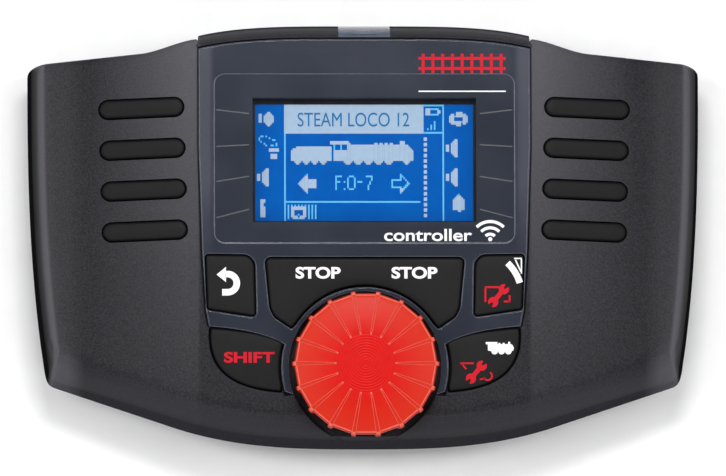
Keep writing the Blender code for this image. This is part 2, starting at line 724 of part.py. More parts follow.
CELL_METAL = make_material("cell_jacket", (0.20, 0.20, 0.22), 0.35, metallic=0.6)

build_front_shell(SHELL_PLASTIC)
build_clear_cover(CLEAR_PLASTIC)
build_back_shell(SHELL_PLASTIC)
build_battery_door(SHELL_PLASTIC)
build_case_screws(STEEL)
build_middle_keys(KEY_PLASTIC)
build_function_keys(KEY_PLASTIC)
build_key_mats(SILICONE, BOARD)
build_knob(RED_PLASTIC)
build_encoder(STEEL, DARK_PART)
build_display(PANEL_PLASTIC, STEEL, LIGHT_GUIDE, GLASS, FILM)
build_boards(BOARD, DARK_PART, STEEL, FILM)
build_batteries(CELL_METAL, STEEL)
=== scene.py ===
"""Looks of the handheld train controller: fine meshes, finishes, floor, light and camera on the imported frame.

Lengths are in millimetres inside the functions and become metres when a mesh is made. X runs across the
controller, Y from the knob up to the display, and Z up out of the face.
"""
import json
import math

import bmesh
import bpy
import numpy as np
from mathutils import Matrix, Vector
from mathutils.geometry import delaunay_2d_cdt


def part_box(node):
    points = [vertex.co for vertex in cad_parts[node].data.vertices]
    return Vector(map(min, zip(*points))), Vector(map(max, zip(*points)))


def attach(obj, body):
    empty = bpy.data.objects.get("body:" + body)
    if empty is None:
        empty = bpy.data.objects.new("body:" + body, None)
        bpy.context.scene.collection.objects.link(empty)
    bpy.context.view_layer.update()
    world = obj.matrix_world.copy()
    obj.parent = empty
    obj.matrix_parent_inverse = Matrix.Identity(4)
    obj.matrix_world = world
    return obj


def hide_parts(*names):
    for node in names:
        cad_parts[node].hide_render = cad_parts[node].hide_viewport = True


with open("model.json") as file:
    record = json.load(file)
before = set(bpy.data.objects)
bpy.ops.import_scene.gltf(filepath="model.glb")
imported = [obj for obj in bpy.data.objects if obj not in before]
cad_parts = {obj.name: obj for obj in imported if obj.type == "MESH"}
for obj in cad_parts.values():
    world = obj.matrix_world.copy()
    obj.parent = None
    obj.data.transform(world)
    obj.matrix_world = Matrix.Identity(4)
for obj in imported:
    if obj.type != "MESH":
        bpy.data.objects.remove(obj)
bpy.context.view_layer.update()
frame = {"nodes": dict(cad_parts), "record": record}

MM = 0.001
GAP = 0.3


def box_mm(node):
    """Lowest and highest corner of a CAD node, in millimetres."""
    low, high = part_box(node)
    return [value / MM for value in low], [value / MM for value in high]


SHELL_LOW, SHELL_HIGH = box_mm("front_shell")
HALF_WIDTH = SHELL_HIGH[0]
HALF_DEPTH = SHELL_HIGH[1]
PARTING_Z = SHELL_LOW[2]
FACE_Z = SHELL_HIGH[2]
COVER_LOW, COVER_HIGH = box_mm("clear_cover")
COVER_UNDERSIDE_Z = COVER_LOW[2]
SEAM_X = COVER_HIGH[0]
LEDGE_Z = COVER_UNDERSIDE_Z - GAP
KNOB_LOW, KNOB_HIGH = box_mm("control_knob")
KNOB_Y = (box_mm("encoder_shaft")[0][1] + box_mm("encoder_shaft")[1][1]) / 2
KNOB_TOP_Z = KNOB_HIGH[2]
KNOB_BASE_Z = KNOB_LOW[2]
KNOB_REACH = KNOB_HIGH[0]
WELL_RADIUS = 17.7
WELL_FLOOR_Z = 24.9
WELL_BLOCK_Z = 23.0
WEB_RADIUS = 19.3
ENCODER_HOLE_RADIUS = 9.6
PLATE_UNDERSIDE_Z = 25.3
MIDDLE_HALF_WIDTH = 44.0
WALL = 2.0
POST_RADIUS = 2.9
WING_DROP = 6.0
SIDE_ROLL = 4.4
ROLL_POWER = 2.4
SEAM = [(SEAM_X, 20.0), (38.3, -4.2), (37.4, -19.0), (36.7, -22.5)]
WINDOW_HALF_WIDTH = 26.4
WINDOW_Y = (2.2, 31.7)
EDGE_RADIUS = 0.35
HAIR = 0.02              # between two loops where a surface drops straight down
LEAST_THICKNESS = 0.02
SURFACE_SPACING = 2.2    # between the points of a large surface
ROW_PITCH = 0.87         # of its rows, as a share of the spacing
MERGE_DISTANCE = 1e-7    # in metres


# Meshes

def placed(name, data):
    """A new object in the scene that shows the data."""
    thing = bpy.data.objects.new(name, data)
    bpy.context.scene.collection.objects.link(thing)
    return thing


def plain_object(name, vertices, faces, triangles=False):
    """An object from millimetre points with its faces turned outwards, merged or cut into triangles."""
    mesh = bpy.data.meshes.new(name)
    mesh.from_pydata((np.asarray(vertices, float) * MM).tolist(), [], faces)
    shape = bmesh.new()
    shape.from_mesh(mesh)
    if not triangles:
        bmesh.ops.remove_doubles(shape, verts=shape.verts, dist=MERGE_DISTANCE)
    bmesh.ops.recalc_face_normals(shape, faces=shape.faces)
    if triangles:
        bmesh.ops.triangulate(shape, faces=shape.faces)
    shape.to_mesh(mesh)
    shape.free()
    return placed(name, mesh)


def add_piece(name, parts, body, material, slot, *nodes, sharp=35.0):
    """A smooth piece that rides on a CAD body, has a material, and stands for its CAD nodes. The slot is not
    used.
    """
    piece = plain_object(name, *parts)
    piece.data.shade_smooth()
    piece.data.set_sharp_from_angle(angle=math.radians(sharp))
    piece.data.materials.append(material)
    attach(piece, body)
    if nodes:
        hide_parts(*nodes)
    return piece


def lofted_parts(rings):
    """Vertices and faces through rings of points, lowest first, with a cap on each end."""
    count = len(rings[0])
    vertices = [tuple(point) for ring in rings for point in ring]
    faces = [tuple(reversed(range(count)))]
    for level in range(len(rings) - 1):
        start = level * count
        for i in range(count):
            j = (i + 1) % count
            faces.append((start + i, start + j, start + count + j, start + count + i))
    faces.append(tuple((len(rings) - 1) * count + i for i in range(count)))
    return vertices, faces


def join_parts(parts):
    """One list of vertices and faces from several."""
    vertices = []
    faces = []
    for part_vertices, part_faces in parts:
        start = len(vertices)
        vertices += list(part_vertices)
        faces += [tuple(start + i for i in face) for face in part_faces]
    return vertices, faces


def at_height(outline, z):
    return [(x, y, z) for x, y in outline]


def rectangle(low_x, high_x, low_y, high_y):
    return [(low_x, low_y), (high_x, low_y), (high_x, high_y), (low_x, high_y)]


def flat_parts(outline, low, high):
    """A slab with upright sides over an outline."""
    return lofted_parts([at_height(outline, low), at_height(outline, high)])


def box_parts(x, y, z):
    return flat_parts(rectangle(*x, *y), *z)


def rotated(points, angle, centre=(0.0, 0.0)):
    """The points turned about the origin and then moved by a centre."""
    return [(centre[0] + x * math.cos(angle) - y * math.sin(angle),
             centre[1] + x * math.sin(angle) + y * math.cos(angle)) for x, y in points]


def dense(outline, step, closed=True):
    """The outline with extra points, so that no stretch is longer than the step."""
    result = []
    for here, after in zip(outline, outline[1:] + outline[:1] if closed else outline[1:]):
        parts = max(1, math.ceil(math.dist(here, after) / step))
        for k in range(parts):
            t = k / parts
            result.append((here[0] + (after[0] - here[0]) * t, here[1] + (after[1] - here[1]) * t))
    return result if closed else result + outline[-1:]


def rounded(corners, steps=8):
    """Outline from (x, y, radius) corners, with each corner drawn as a true arc."""
    outline = []
    for i, (x, y, radius) in enumerate(corners):
        if radius == 0:
            outline.append((x, y))
            continue
        here = Vector((x, y))
        a = (Vector(corners[i - 1][:2]) - here).normalized()
        b = (Vector(corners[(i + 1) % len(corners)][:2]) - here).normalized()
        half = math.acos(max(-1.0, min(1.0, a.dot(b)))) / 2
        centre = here + (a + b).normalized() * radius / math.sin(half)
        start = here + a * radius / math.tan(half) - centre
        end = here + b * radius / math.tan(half) - centre
        sweep = math.atan2(start.x * end.y - start.y * end.x, start.dot(end))
        for step in range(steps + 1):
            outline += rotated([start], sweep * step / steps, centre)
    return outline


def rounded_box(low_x, high_x, low_y, high_y, radius, steps=8):
    return rounded([(x, y, radius) for x, y in rectangle(low_x, high_x, low_y, high_y)], steps)


def signed_area(outline):
    points = np.asarray(outline, float)
    after = np.roll(points, -1, axis=0)
    return 0.5 * float((points[:, 0] * after[:, 1] - after[:, 0] * points[:, 1]).sum())


def grown(outline, distance):
    """The closed outline moved outwards by a distance, or inwards by a negative one."""
    points = np.asarray(outline, float)
    turn = 1 if signed_area(outline) > 0 else -1
    first = points - np.roll(points, 1, axis=0)
    second = np.roll(first, -1, axis=0)
    first = first / np.linalg.norm(first, axis=1)[:, None]
    second = second / np.linalg.norm(second, axis=1)[:, None]
    normal = turn * np.stack([first[:, 1] + second[:, 1], -first[:, 0] - second[:, 0]], axis=1)
    size = (normal ** 2).sum(axis=1) / 2
    moved = points + distance * normal / np.maximum(size, 0.35)[:, None]
    return [tuple(point) for point in moved]


def mirrored(outline):
    return [(-x, y) for x, y in reversed(outline)]


def arc(radius, start, end, steps, centre=None):
    """Points on a circle, about the knob's axis unless told otherwise, between two angles in degrees."""
    middle = centre or (0.0, KNOB_Y)
    angles = np.radians(np.linspace(start, end, steps + 1))
    return [(middle[0] + radius * math.cos(a), middle[1] + radius * math.sin(a)) for a in angles]


def circle(radius, steps, centre=None):
    return arc(radius, 0, 360 - 360 / steps, steps - 1, centre)


def inside(points, loops):
    """Which points lie inside the loops taken together, so a loop within another one is a hole."""
    odd = np.zeros(len(points), bool)
    x = points[:, 0]
    y = points[:, 1]
    for loop in loops:
        corners = np.asarray(loop, float)
        for (x0, y0), (x1, y1) in zip(corners, np.roll(corners, -1, axis=0)):
            if y0 == y1:
                continue
            crosses = (y0 > y) != (y1 > y)
            odd ^= crosses & (x < (x1 - x0) * (y - y0) / (y1 - y0) + x0)
    return odd


def distance_to(points, loops, reach):
    """Distance from each point to the nearest loop, and the reach for points further away than that."""
    nearest = np.full(len(points), float(reach))
    for loop in loops:
        corners = np.asarray(loop, float)
        low = corners.min(axis=0) - reach
        high = corners.max(axis=0) + reach
        close = np.where(((points > low) & (points < high)).all(axis=1))[0]
        if not len(close):
            continue
        for a, b in zip(corners, np.roll(corners, -1, axis=0)):
            along = b - a
            offset = points[close] - a
            t = np.clip(offset @ along / max(along @ along, 1e-12), 0, 1)
            gap = np.linalg.norm(offset - t[:, None] * along, axis=1)
            nearest[close] = np.minimum(nearest[close], gap)
    return nearest


def lip_rows(loop, direction, radius=EDGE_RADIUS):
    """Loops beside an edge, where its rounded lip needs points, outside it (1) or inside it (-1)."""
    return [grown(loop, direction * radius * share) for share in (0.13, 0.45, 1.0, 1.4)]


def lip_drop(points, loops, radius=EDGE_RADIUS):
    """How far a rounded lip falls below the surface, from the distance to its edge."""
    gap = distance_to(points, loops, radius) / radius
    return radius * (1 - np.sqrt(np.clip(1 - (1 - gap) ** 2, 0, 1)))


def relief_parts(loops, guides, surface, floor, spacing=SURFACE_SPACING):
    """A closed plate over the region between the loops. Its top follows surface(points), its underside floor.

    The guides are further loops along which the plate has points, such as a lip or a step.
    """
    points = []
    edges = []
    lines = list(loops) + list(guides)
    for loop in lines:
        start = len(points)
        points += [tuple(point) for point in loop]
        edges += [(start + i, start + (i + 1) % len(loop)) for i in range(len(loop))]
    low = np.min(points, axis=0)
    high = np.max(points, axis=0)
    across = np.arange(low[0], high[0], spacing)
    up = np.arange(low[1], high[1], spacing * ROW_PITCH)
    grid = np.array([(x + (spacing / 2 if k % 2 else 0), y) for k, y in enumerate(up) for x in across])
    grid = grid[inside(grid, loops)]
    clear = spacing * 0.4
    grid = grid[distance_to(grid, lines, clear) >= clear]
    every = [Vector(point) for point in points] + [Vector(point) for point in grid]
    flat, _, triangles, _, _, _ = delaunay_2d_cdt(every, edges, [], 0, 1e-5)
    flat = np.array([tuple(point) for point in flat])
    triangles = np.array(triangles)
    triangles = triangles[inside(flat[triangles].mean(axis=1), loops)]
    used, index = np.unique(triangles, return_inverse=True)
    triangles = index.reshape(-1, 3)
    flat = flat[used]
    top = surface(flat)
    wanted = floor(flat) if callable(floor) else np.full(len(flat), float(floor))
    under = np.minimum(wanted, top - LEAST_THICKNESS)
    count = len(flat)
    vertices = np.concatenate([np.column_stack([flat, top]), np.column_stack([flat, under])])
    sides = np.concatenate([triangles[:, [0, 1]], triangles[:, [1, 2]], triangles[:, [2, 0]]])
    _, first, times = np.unique(np.sort(sides, axis=1), axis=0, return_index=True, return_counts=True)
    faces = triangles.tolist()
    faces += [(c + count, b + count, a + count) for a, b, c in triangles.tolist()]
    faces += [(b, a, a + count, b + count) for a, b in sides[first[times == 1]].tolist()]
    return vertices, faces


# Plan and height of the housing

def smooth_step(t):
    t = np.clip(t, 0.0, 1.0)
    return t * t * (3 - 2 * t)


NOTCH_X = SEAM_X + GAP / 2
NOTCH_RADIUS = 0.6


def top_edge(x):
    """The upper edge: a crown over the cover, then a wing with a round corner that sweeps out and falls."""
    x = np.abs(x)
    crown = HALF_DEPTH - 2.3 * (x / SEAM_X) ** 4
    wing = 41.9 + 0.09 * (62.3 - x) + 2.2 * smooth_step((53.0 - x) / 13.7)
    past = np.clip(NOTCH_RADIUS - (x - NOTCH_X), 0, NOTCH_RADIUS)
    corner = NOTCH_RADIUS - np.sqrt(NOTCH_RADIUS ** 2 - past ** 2)
    return np.where(x < SEAM_X, crown, wing - corner)


def bottom_edge(x):
    """The lower edge: a belly round the knob that runs into a straight line up to each corner."""
    x = np.abs(x)
    belly = -HALF_DEPTH + 5.15 * (np.minimum(x, 45.0) / 45.0) ** 2.9
    return np.where(x < 45.0, belly, -44.9 + 0.3345 * (x - 45.0))


def side_reach(y):
    """Half width at a height up the plan, narrowing towards the lower corners."""
    level = np.clip((y + 35.0) / 75.9, 0.0, 1.0)
    return HALF_WIDTH - 4.6 * (1 - level) ** 2.7


def face_height(x):
    """Height of the face before its edges roll down: level between the seams, falling along each wing."""
    beyond = np.maximum(0.0, np.abs(x) - SEAM_X)
    return FACE_Z - WING_DROP * (beyond / (HALF_WIDTH - SEAM_X)) ** 1.5


def top_roll(x):
    """Width of the roll along the upper edge: wide over the cover, narrow on a wing, wide at the corner."""
    x = np.abs(x)
    return np.where(x < SEAM_X, 4.4, 0.8 + 1.4 * smooth_step((x - 75.0) / 4.0))


def bottom_roll(x):
    """Width of the band below the crease."""
    return 6.3 + 2.4 * (np.abs(x) / 75.0) ** 4


def corner_power(y):
    """How square a corner of the plan is: round at the top, crisp at the bottom."""
    return np.where(y > 0, 2.5, 8.0)


def dome_height(points):
    """Height of the housing's outer skin, with its edges rolled down to the parting line."""
    x = points[:, 0]
    y = points[:, 1]
    side = np.clip(1 - (side_reach(y) - np.abs(x)) / SIDE_ROLL, 0, 1)
    top = np.clip(1 - (top_edge(x) - y) / top_roll(x), 0, 1)
    bottom = np.clip(1 - (y - bottom_edge(x)) / bottom_roll(x), 0, 1)
    power = corner_power(y)
    across = (side ** power + np.maximum(top, bottom) ** power) ** (1 / power)
    crease = 0.17 * bottom * (1 - bottom)
    rise = (1 - np.clip(across, 0, 1) ** ROLL_POWER) ** (1 / ROLL_POWER) - crease
    return PARTING_Z + (face_height(x) - PARTING_Z) * np.maximum(rise, 0)


def plan_loop(fraction=0.0, inset=0.0):
    """Closed loop round the plan, where the edge roll is at a fraction of its width, then inset all round."""
    reach = 1 - fraction
    quarter = np.radians(np.linspace(0, 90, 10))

    def low_y(x, share):
        return float(bottom_edge(x) + (1 - share) * bottom_roll(x)) + inset

    def high_y(x, share):
        return float(top_edge(x) - (1 - share) * top_roll(x)) - inset

    def corner(height, start, angles):
        points = []
        power = float(corner_power(start))
        for angle in angles:
            a = reach * max(0.0, math.cos(angle)) ** (2 / power)
            b = reach * max(0.0, math.sin(angle)) ** (2 / power)
            y = start
            for _ in range(12):
                x = float(side_reach(y)) - inset - (1 - a) * SIDE_ROLL
                y = height(x, b)
            points.append((x, y))
        return points

    low = corner(low_y, -30.0, quarter[::-1])
    high = corner(high_y, 38.0, quarter)
    side = []
    for t in np.linspace(0, 1, 32)[1:-1]:
        y = low[-1][1] + (high[0][1] - low[-1][1]) * t
        side.append((float(side_reach(y)) - inset - fraction * SIDE_ROLL, y))
    right = low + side + high
    edge = list(np.linspace(0, SEAM_X - 1.0, 30)[1:]) + [SEAM_X - 0.3, SEAM_X - 0.02]
    edge += [NOTCH_X + NOTCH_RADIUS * t for t in (0, 0.03, 0.12, 0.3, 0.6, 1.0)]
    edge += list(np.linspace(NOTCH_X + 1.5, high[-1][0], 30)[:-1])
    upper = [(x, high_y(x, reach)) for x in reversed(edge)]
    lower = [(x, low_y(x, reach)) for x in np.linspace(0, low[0][0], 60)[1:-1]]
    right = lower + right + upper
    return [(0.0, low_y(0.0, reach))] + right + [(0.0, high_y(0.0, reach))] + mirrored(right)


# Outlines of the keys and the cover

def bezier(a, b, c, d, steps):
    """Points on the curve from a to d that b and c pull at."""
    points = []
    for t in np.linspace(0, 1, steps + 1):
        weights = ((1 - t) ** 3, 3 * t * (1 - t) ** 2, 3 * t * t * (1 - t), t ** 3)
        points.append(tuple(sum(w * p[i] for w, p in zip(weights, (a, b, c, d))) for i in (0, 1)))
    return points


def stop_key_outline():
    """A shield with round shoulders, whose lower edge is an arc round the knob."""
    left = [(-22.4, -6.35, 1.4), (-23.3, -6.9, 1.0), (-22.2, -18.2, 3.0), (-21.2, -20.2, 2.6),
            (-17.3, -22.8, 0.3)]
    right = [(-x, y, radius) for x, y, radius in reversed(left)]
    lower = [(x, y, 0) for x, y in arc(WEB_RADIUS, 147, 33, 30)]
    return rounded(left + lower + right, 5)


def back_key_outline():
    return rounded([(-37.5, -5.6, 0.7), (-37.0, -18.4, 0.7), (-25.8, -20.1, 0.7), (-26.1, -5.75, 2.7)])


def shift_key_outline():
    """A quarter shape: a long outer curve, an arc round the knob and a bowed top."""
    outer = bezier((-36.4, -24.6), (-36.4, -33.6), (-30.3, -37.1), (-19.9, -37.85), 24)
    inner = arc(WEB_RADIUS + 0.8, 193, 164, 8)
    top = bezier((-20.2, -25.9), (-24.2, -24.2), (-29.0, -23.5), (-35.9, -22.95), 14)
    return outer + inner + top + [(-36.3, -23.1)]


KEY_OUTLINES = {
    "stop_key": stop_key_outline(),
    "back_key": back_key_outline(),
    "turnout_key": mirrored(back_key_outline()),
    "shift_key": shift_key_outline(),
    "loco_key": mirrored(shift_key_outline()),
}
COVER_KEYS = ("stop_key", "back_key", "turnout_key")


def cover_top(x):
    """Y of the cover's upper edge, where the housing's roll begins."""
    return float(top_edge(x) - top_roll(x))


def cover_outline(opening_radius, margin=0.0):
    """The clear cover: between the seams, up to the roll, and round the knob and the lower keys."""
    edge_x = SEAM_X + margin
    side = dense([(x + margin, y) for x, y in reversed(SEAM)], 2.0, closed=False)
    side += [(edge_x, y) for y in np.arange(22.0, 45.0, 2.0)]
    upper = [(x * edge_x, cover_top(x * (SEAM_X - 0.05)) + margin) for x in np.linspace(1, 0, 40)]
    turn = math.degrees(margin / WELL_RADIUS) * 3
    opening = arc(opening_radius, 201 + turn, -21 - turn, 80)
    arm = arc(WEB_RADIUS + 0.4 + margin, -17 - turn, 16, 12)
    pulls = [(19.9 + margin, -26.2), (23.6, -24.25 - margin), (29.0, -23.1 - margin), (36.2, -22.55 - margin)]
    right = arm + bezier(*pulls, 14) + side + upper
    return opening + right + mirrored(right[:-1])


FUNCTION_KEY_LENGTH = 19.8
FUNCTION_KEY_WIDTH = 4.3
FUNCTION_KEY_TOP = (52.6, 29.25)
FUNCTION_KEY_STEP = (0.27, 9.7)
FUNCTION_KEY_TILT = math.radians(1.8)


def function_key_outline(side, index, margin=0.0):
    """The slot shape of one of the four keys on a side, which is tilted a little."""
    radius = FUNCTION_KEY_WIDTH / 2 + margin
    reach = (FUNCTION_KEY_LENGTH - FUNCTION_KEY_WIDTH) / 2
    outline = []
    for end in (1, -1):
        for angle in np.radians(np.linspace(-90, 90, 17)) + (0 if end > 0 else math.pi):
            outline.append((end * reach + radius * math.cos(angle), radius * math.sin(angle)))
    centre = (side * (FUNCTION_KEY_TOP[0] - FUNCTION_KEY_STEP[0] * index),
              FUNCTION_KEY_TOP[1] - FUNCTION_KEY_STEP[1] * index)
    return rotated(outline, -side * FUNCTION_KEY_TILT, centre)


FUNCTION_KEYS = [(side, word, index) for side, word in ((-1, "left"), (1, "right")) for index in range(4)]
SCREW_PLACES = [(side * x, y) for x, y in ((66.2, 27.0), (60.0, -21.0), (39.2, 36.5)) for side in (-1, 1)]


# Housing

def step_pair(loop):
    """Two loops a hair apart, between which a surface may drop straight down."""
    return [loop, grown(loop, -HAIR)]


def within_step(points, loop):
    return inside(points, [grown(loop, -HAIR / 2)])


def build_front_shell(material):
    """Upper casing: its skin, the ledge under the cover, the knob's well and the openings for the keys."""
    rebate = cover_outline(WELL_RADIUS - 3, GAP)
    well = circle(WELL_RADIUS, 120)
    slots = [function_key_outline(side, index, GAP) for side, _, index in FUNCTION_KEYS]
    openings = {name: grown(outline, GAP) for name, outline in KEY_OUTLINES.items()}
    display = dense(rectangle(-34.9, 34.9, -1.9, 42.0), 4.0)
    hollow = plan_loop(0.0, WALL + 0.2)
    well_block = circle(WELL_RADIUS + 1.4, 48)
    posts = [circle(POST_RADIUS, 20, place) for place in SCREW_PLACES]
    lipped = [rebate, well, openings["shift_key"], openings["loco_key"]]

    def outer(points):
        dome = dome_height(points)
        top = dome - lip_drop(points, lipped)
        top = np.where(within_step(points, rebate), np.minimum(dome, LEDGE_Z), top)
        return np.where(within_step(points, well), np.minimum(top, WELL_FLOOR_Z), top)

    def inner(points):
        under = dome_height(points) - WALL
        middle = smooth_step((MIDDLE_HALF_WIDTH - np.abs(points[:, 0])) / 2.0)
        under = under + middle * (np.minimum(under, PLATE_UNDERSIDE_Z) - under)
        under = np.where(within_step(points, well_block), np.minimum(under, WELL_BLOCK_Z), under)
        for post in posts:
            under = np.where(within_step(points, post), PARTING_Z + 2, under)
        return np.where(within_step(points, hollow), np.maximum(under, PARTING_Z), PARTING_Z)

    loops = [plan_loop(), display, circle(ENCODER_HOLE_RADIUS, 40)] + slots + list(openings.values())
    guides = [plan_loop(f) for f in (0.008, 0.03, 0.07, 0.13, 0.2, 0.3, 0.42, 0.55, 0.72, 0.875, 1.0)]
    for loop in [rebate, well, hollow, well_block] + posts:
        guides += step_pair(loop)
    for loop in lipped:
        guides += lip_rows(loop, 1)
    parts = relief_parts(loops, guides, outer, inner)
    add_piece("front_shell_skin", parts, "housing", material, "charcoal_plastic", "front_shell")


PANEL = rounded_box(-35.5, 35.5, -2.9, 37.4, 2.6, 10)
PANEL_DEPTH = 0.12
PANEL_EDGE = 0.16
COVER_LIP = 0.3


def cover_height(points):
    """Top of the clear cover, with its shallow recess over the display."""
    top = dome_height(points)
    within = inside(points, [PANEL])
    edge = distance_to(points, [PANEL], PANEL_EDGE) / PANEL_EDGE
    return top - np.where(within, PANEL_DEPTH * smooth_step(edge), 0)


def build_clear_cover(material, painted_highlight_material):
    """The cover over the middle, with rounded edges and a window for each of three keys."""
    edges = [cover_outline(WELL_RADIUS + GAP)] + [grown(KEY_OUTLINES[name], GAP) for name in COVER_KEYS]
    guides = [grown(PANEL, -PANEL_EDGE * share) for share in (-1, 0, 0.3, 0.7, 1, 2)]
    for loop in edges:
        guides += lip_rows(loop, -1 if loop is edges[0] else 1, COVER_LIP)

    def surface(points):
        return cover_height(points) - lip_drop(points, edges, COVER_LIP)

    parts = relief_parts(edges, guides, surface, COVER_UNDERSIDE_Z, 3.0)
    cover = add_piece("clear_cover_lens", parts, "housing", material, "smoked_clear_plastic", "clear_cover")
    # Painted highlight on the sloping faces along the cover's edges
    brighten_bevels(cover, painted_highlight_material, 25, 75)


def build_status_lens(material):
    """A clear patch in the roll behind the cover, with a half-moon lens on it."""
    half_width = 6.1
    across = np.linspace(-half_width, half_width, 9)
    rows = []
    for y in np.linspace(cover_top(half_width) + 0.4, HALF_DEPTH - 0.25, 14):
        heights = dome_height(np.array([(x, y) for x in across]))
        upper = [(x, y, float(z) + 0.05) for x, z in zip(across, heights)]
        rows.append(upper + [(x, y, z - 0.35) for x, y, z in reversed(upper)])
    moon = arc(5.0, 47, 133, 16, (0.0, cover_top(0.0) - 2.75))
    rings = []
    for inset, rise in ((0.0, -0.2), (0.0, 0.1), (0.25, 0.16)):
        ring = grown(moon, -inset)
        heights = dome_height(np.array(ring)) + rise
        rings.append([(x, y, float(z)) for (x, y), z in zip(ring, heights)])
    parts = join_parts([lofted_parts(rows), lofted_parts(rings)])
    add_piece("status_lens", parts, "housing", material, "smoked_clear_plastic")


def curve_through(points, steps):
    """A smooth curve through a few points, as a Catmull-Rom spline."""
    ends = [2 * np.array(points[0]) - np.array(points[1])]
    ends += [np.array(point) for point in points]
    ends += [2 * ends[-1] - ends[-2]]
    result = []
    for a, b, c, d in zip(ends, ends[1:], ends[2:], ends[3:]):
        for t in np.linspace(0, 1, steps, endpoint=False):
            result.append(0.5 * (2 * b + (c - a) * t + (2 * a - 5 * b + 4 * c - d) * t ** 2
                                 + (3 * b - a - 3 * c + d) * t ** 3))
    return [tuple(point) for point in result] + [tuple(points[-1])]


def cut_parts(parts, steps):
    """The first parts after each (operation, list of parts) step, which adds to them or takes from them."""
    base = plain_object("cutter", *parts, triangles=True)
    used = [base]
    for operation, tools in steps:
        for tool in tools:
            used.append(plain_object("cutter", *tool, triangles=True))
            modifier = base.modifiers.new("cut", "BOOLEAN")
            modifier.operation = operation
            modifier.solver = "MANIFOLD"
            modifier.object = used[-1]
    view = bpy.context.evaluated_depsgraph_get()
    result = bpy.data.meshes.new_from_object(base.evaluated_get(view))
    points = [tuple(np.array(vertex.co) / MM) for vertex in result.vertices]
    for thing in used[1:] + [base]:
        bpy.data.objects.remove(thing, do_unlink=True)
    return points, [tuple(polygon.vertices) for polygon in result.polygons]


def turned_parts(profile, segments, centre=(0.0, 0.0)):
    """Solid turned about a vertical axis from (radius, height) points that start and end on the axis."""
    vertices = []
    rows = []
    for radius, height in profile:
        start = len(vertices)
        if radius == 0:
            rows.append([start] * segments)
            vertices.append((*centre, height))
            continue
        rows.append(list(range(start, start + segments)))
        vertices += at_height(circle(radius, segments, centre), height)
    faces = []
    for low, high in zip(rows, rows[1:]):
        for i in range(segments):
            j = (i + 1) % segments
            faces.append(tuple(dict.fromkeys([low[i], low[j], high[j], high[i]])))
    return vertices, faces


DOOR_LOW, DOOR_HIGH = box_mm("battery_door")
DOOR_HALF_WIDTH = DOOR_HIGH[0]
DOOR_HIGH_Y = 30.6
BAY_ROOF_Z = 17.8


def build_back_shell(material):
    """Tub with round flanks, the battery bay in it, the door's channel and a boss for each screw."""
    flank = [(12.5, 0.0), (11.0, 0.4), (8.4, 1.6), (4.2, 4.5), (1.0, 8.5), (0.0, PARTING_Z - GAP)]
    inner_flank = [(14.0, 2.2), (10.2, 3.4), (6.2, 6.0), (3.1, 9.2), (2.2, PARTING_Z + 1)]
    tub, hollow = [lofted_parts([at_height(plan_loop(0.0, inset), z) for inset, z in curve])
                   for curve in (curve_through(flank, 4), curve_through(inner_flank, 3))]
    block_x = (-34.5, 34.5)
    added = [box_parts(block_x, (-31.3, 31.3), (1.0, BAY_ROOF_Z + 1.2)),
             box_parts(block_x, (-41.0, 34.6), (1.0, 4.6))]
    boss = [(0, 2.0), (3.9, 2.0), (3.9, 13.7), (0, 13.7)]
    added += [turned_parts(boss, 40, place) for place in SCREW_PLACES]
    channel = DOOR_HALF_WIDTH + GAP
    removed = [box_parts((-31.2, 31.2), (-28.8, 28.8), (-1, BAY_ROOF_Z)),
               box_parts((-channel, channel), (-60.0, DOOR_HIGH_Y + GAP), (-1, DOOR_HIGH[2] + GAP)),
               box_parts((-10.6, 10.6), (DOOR_HIGH_Y - 1, DOOR_HIGH_Y + 3.0), (0.9, 2.9))]
    hole = [(0, -1), (3.1, -1), (3.1, 4.2), (1.8, 4.2), (1.8, 20), (0, 20)]
    removed += [turned_parts(hole, 40, place) for place in SCREW_PLACES]
    parts = cut_parts(tub, [("DIFFERENCE", [hollow]), ("UNION", added), ("DIFFERENCE", removed)])
    add_piece("back_shell_skin", parts, "housing", material, "charcoal_plastic", "back_shell", sharp=30)


def build_battery_door(material):
    """Sliding door: a thin plate with soft edges, finger ridges at its open end and a tongue at the other."""
    corners = rectangle(-DOOR_HALF_WIDTH, DOOR_HALF_WIDTH, DOOR_LOW[1], DOOR_HIGH_Y)
    outline = rounded([(x, y, 2.0 if y < 0 else 0.6) for x, y in corners])
    low = DOOR_LOW[2]
    high = DOOR_HIGH[2]
    soft_edge = ((0.5, 0.0), (0.22, 0.07), (0.07, 0.22), (0, 0.5))
    rings = [at_height(grown(outline, -inset), low + rise) for inset, rise in soft_edge]
    rings.append(at_height(outline, high))
    tongue = box_parts((-10.0, 10.0), (DOOR_HIGH_Y - 2, DOOR_HIGH[1]), (1.3, high))
    grooves = []
    groove_radius = 0.45
    groove_pitch = 1.6
    for i in range(9):
        y = DOOR_LOW[1] + 4.0 + groove_pitch * i
        reach = 12.0 - 0.25 * (i - 4) ** 2
        section = circle(groove_radius, 12, (y, low))
        grooves.append(lofted_parts([[(x, *point) for point in section] for x in (-reach, reach)]))
    parts = cut_parts(lofted_parts(rings), [("UNION", [tongue]), ("DIFFERENCE", grooves)])
    add_piece("battery_door_plate", parts, "battery_door", material, "charcoal_plastic", "battery_door",
              sharp=30)


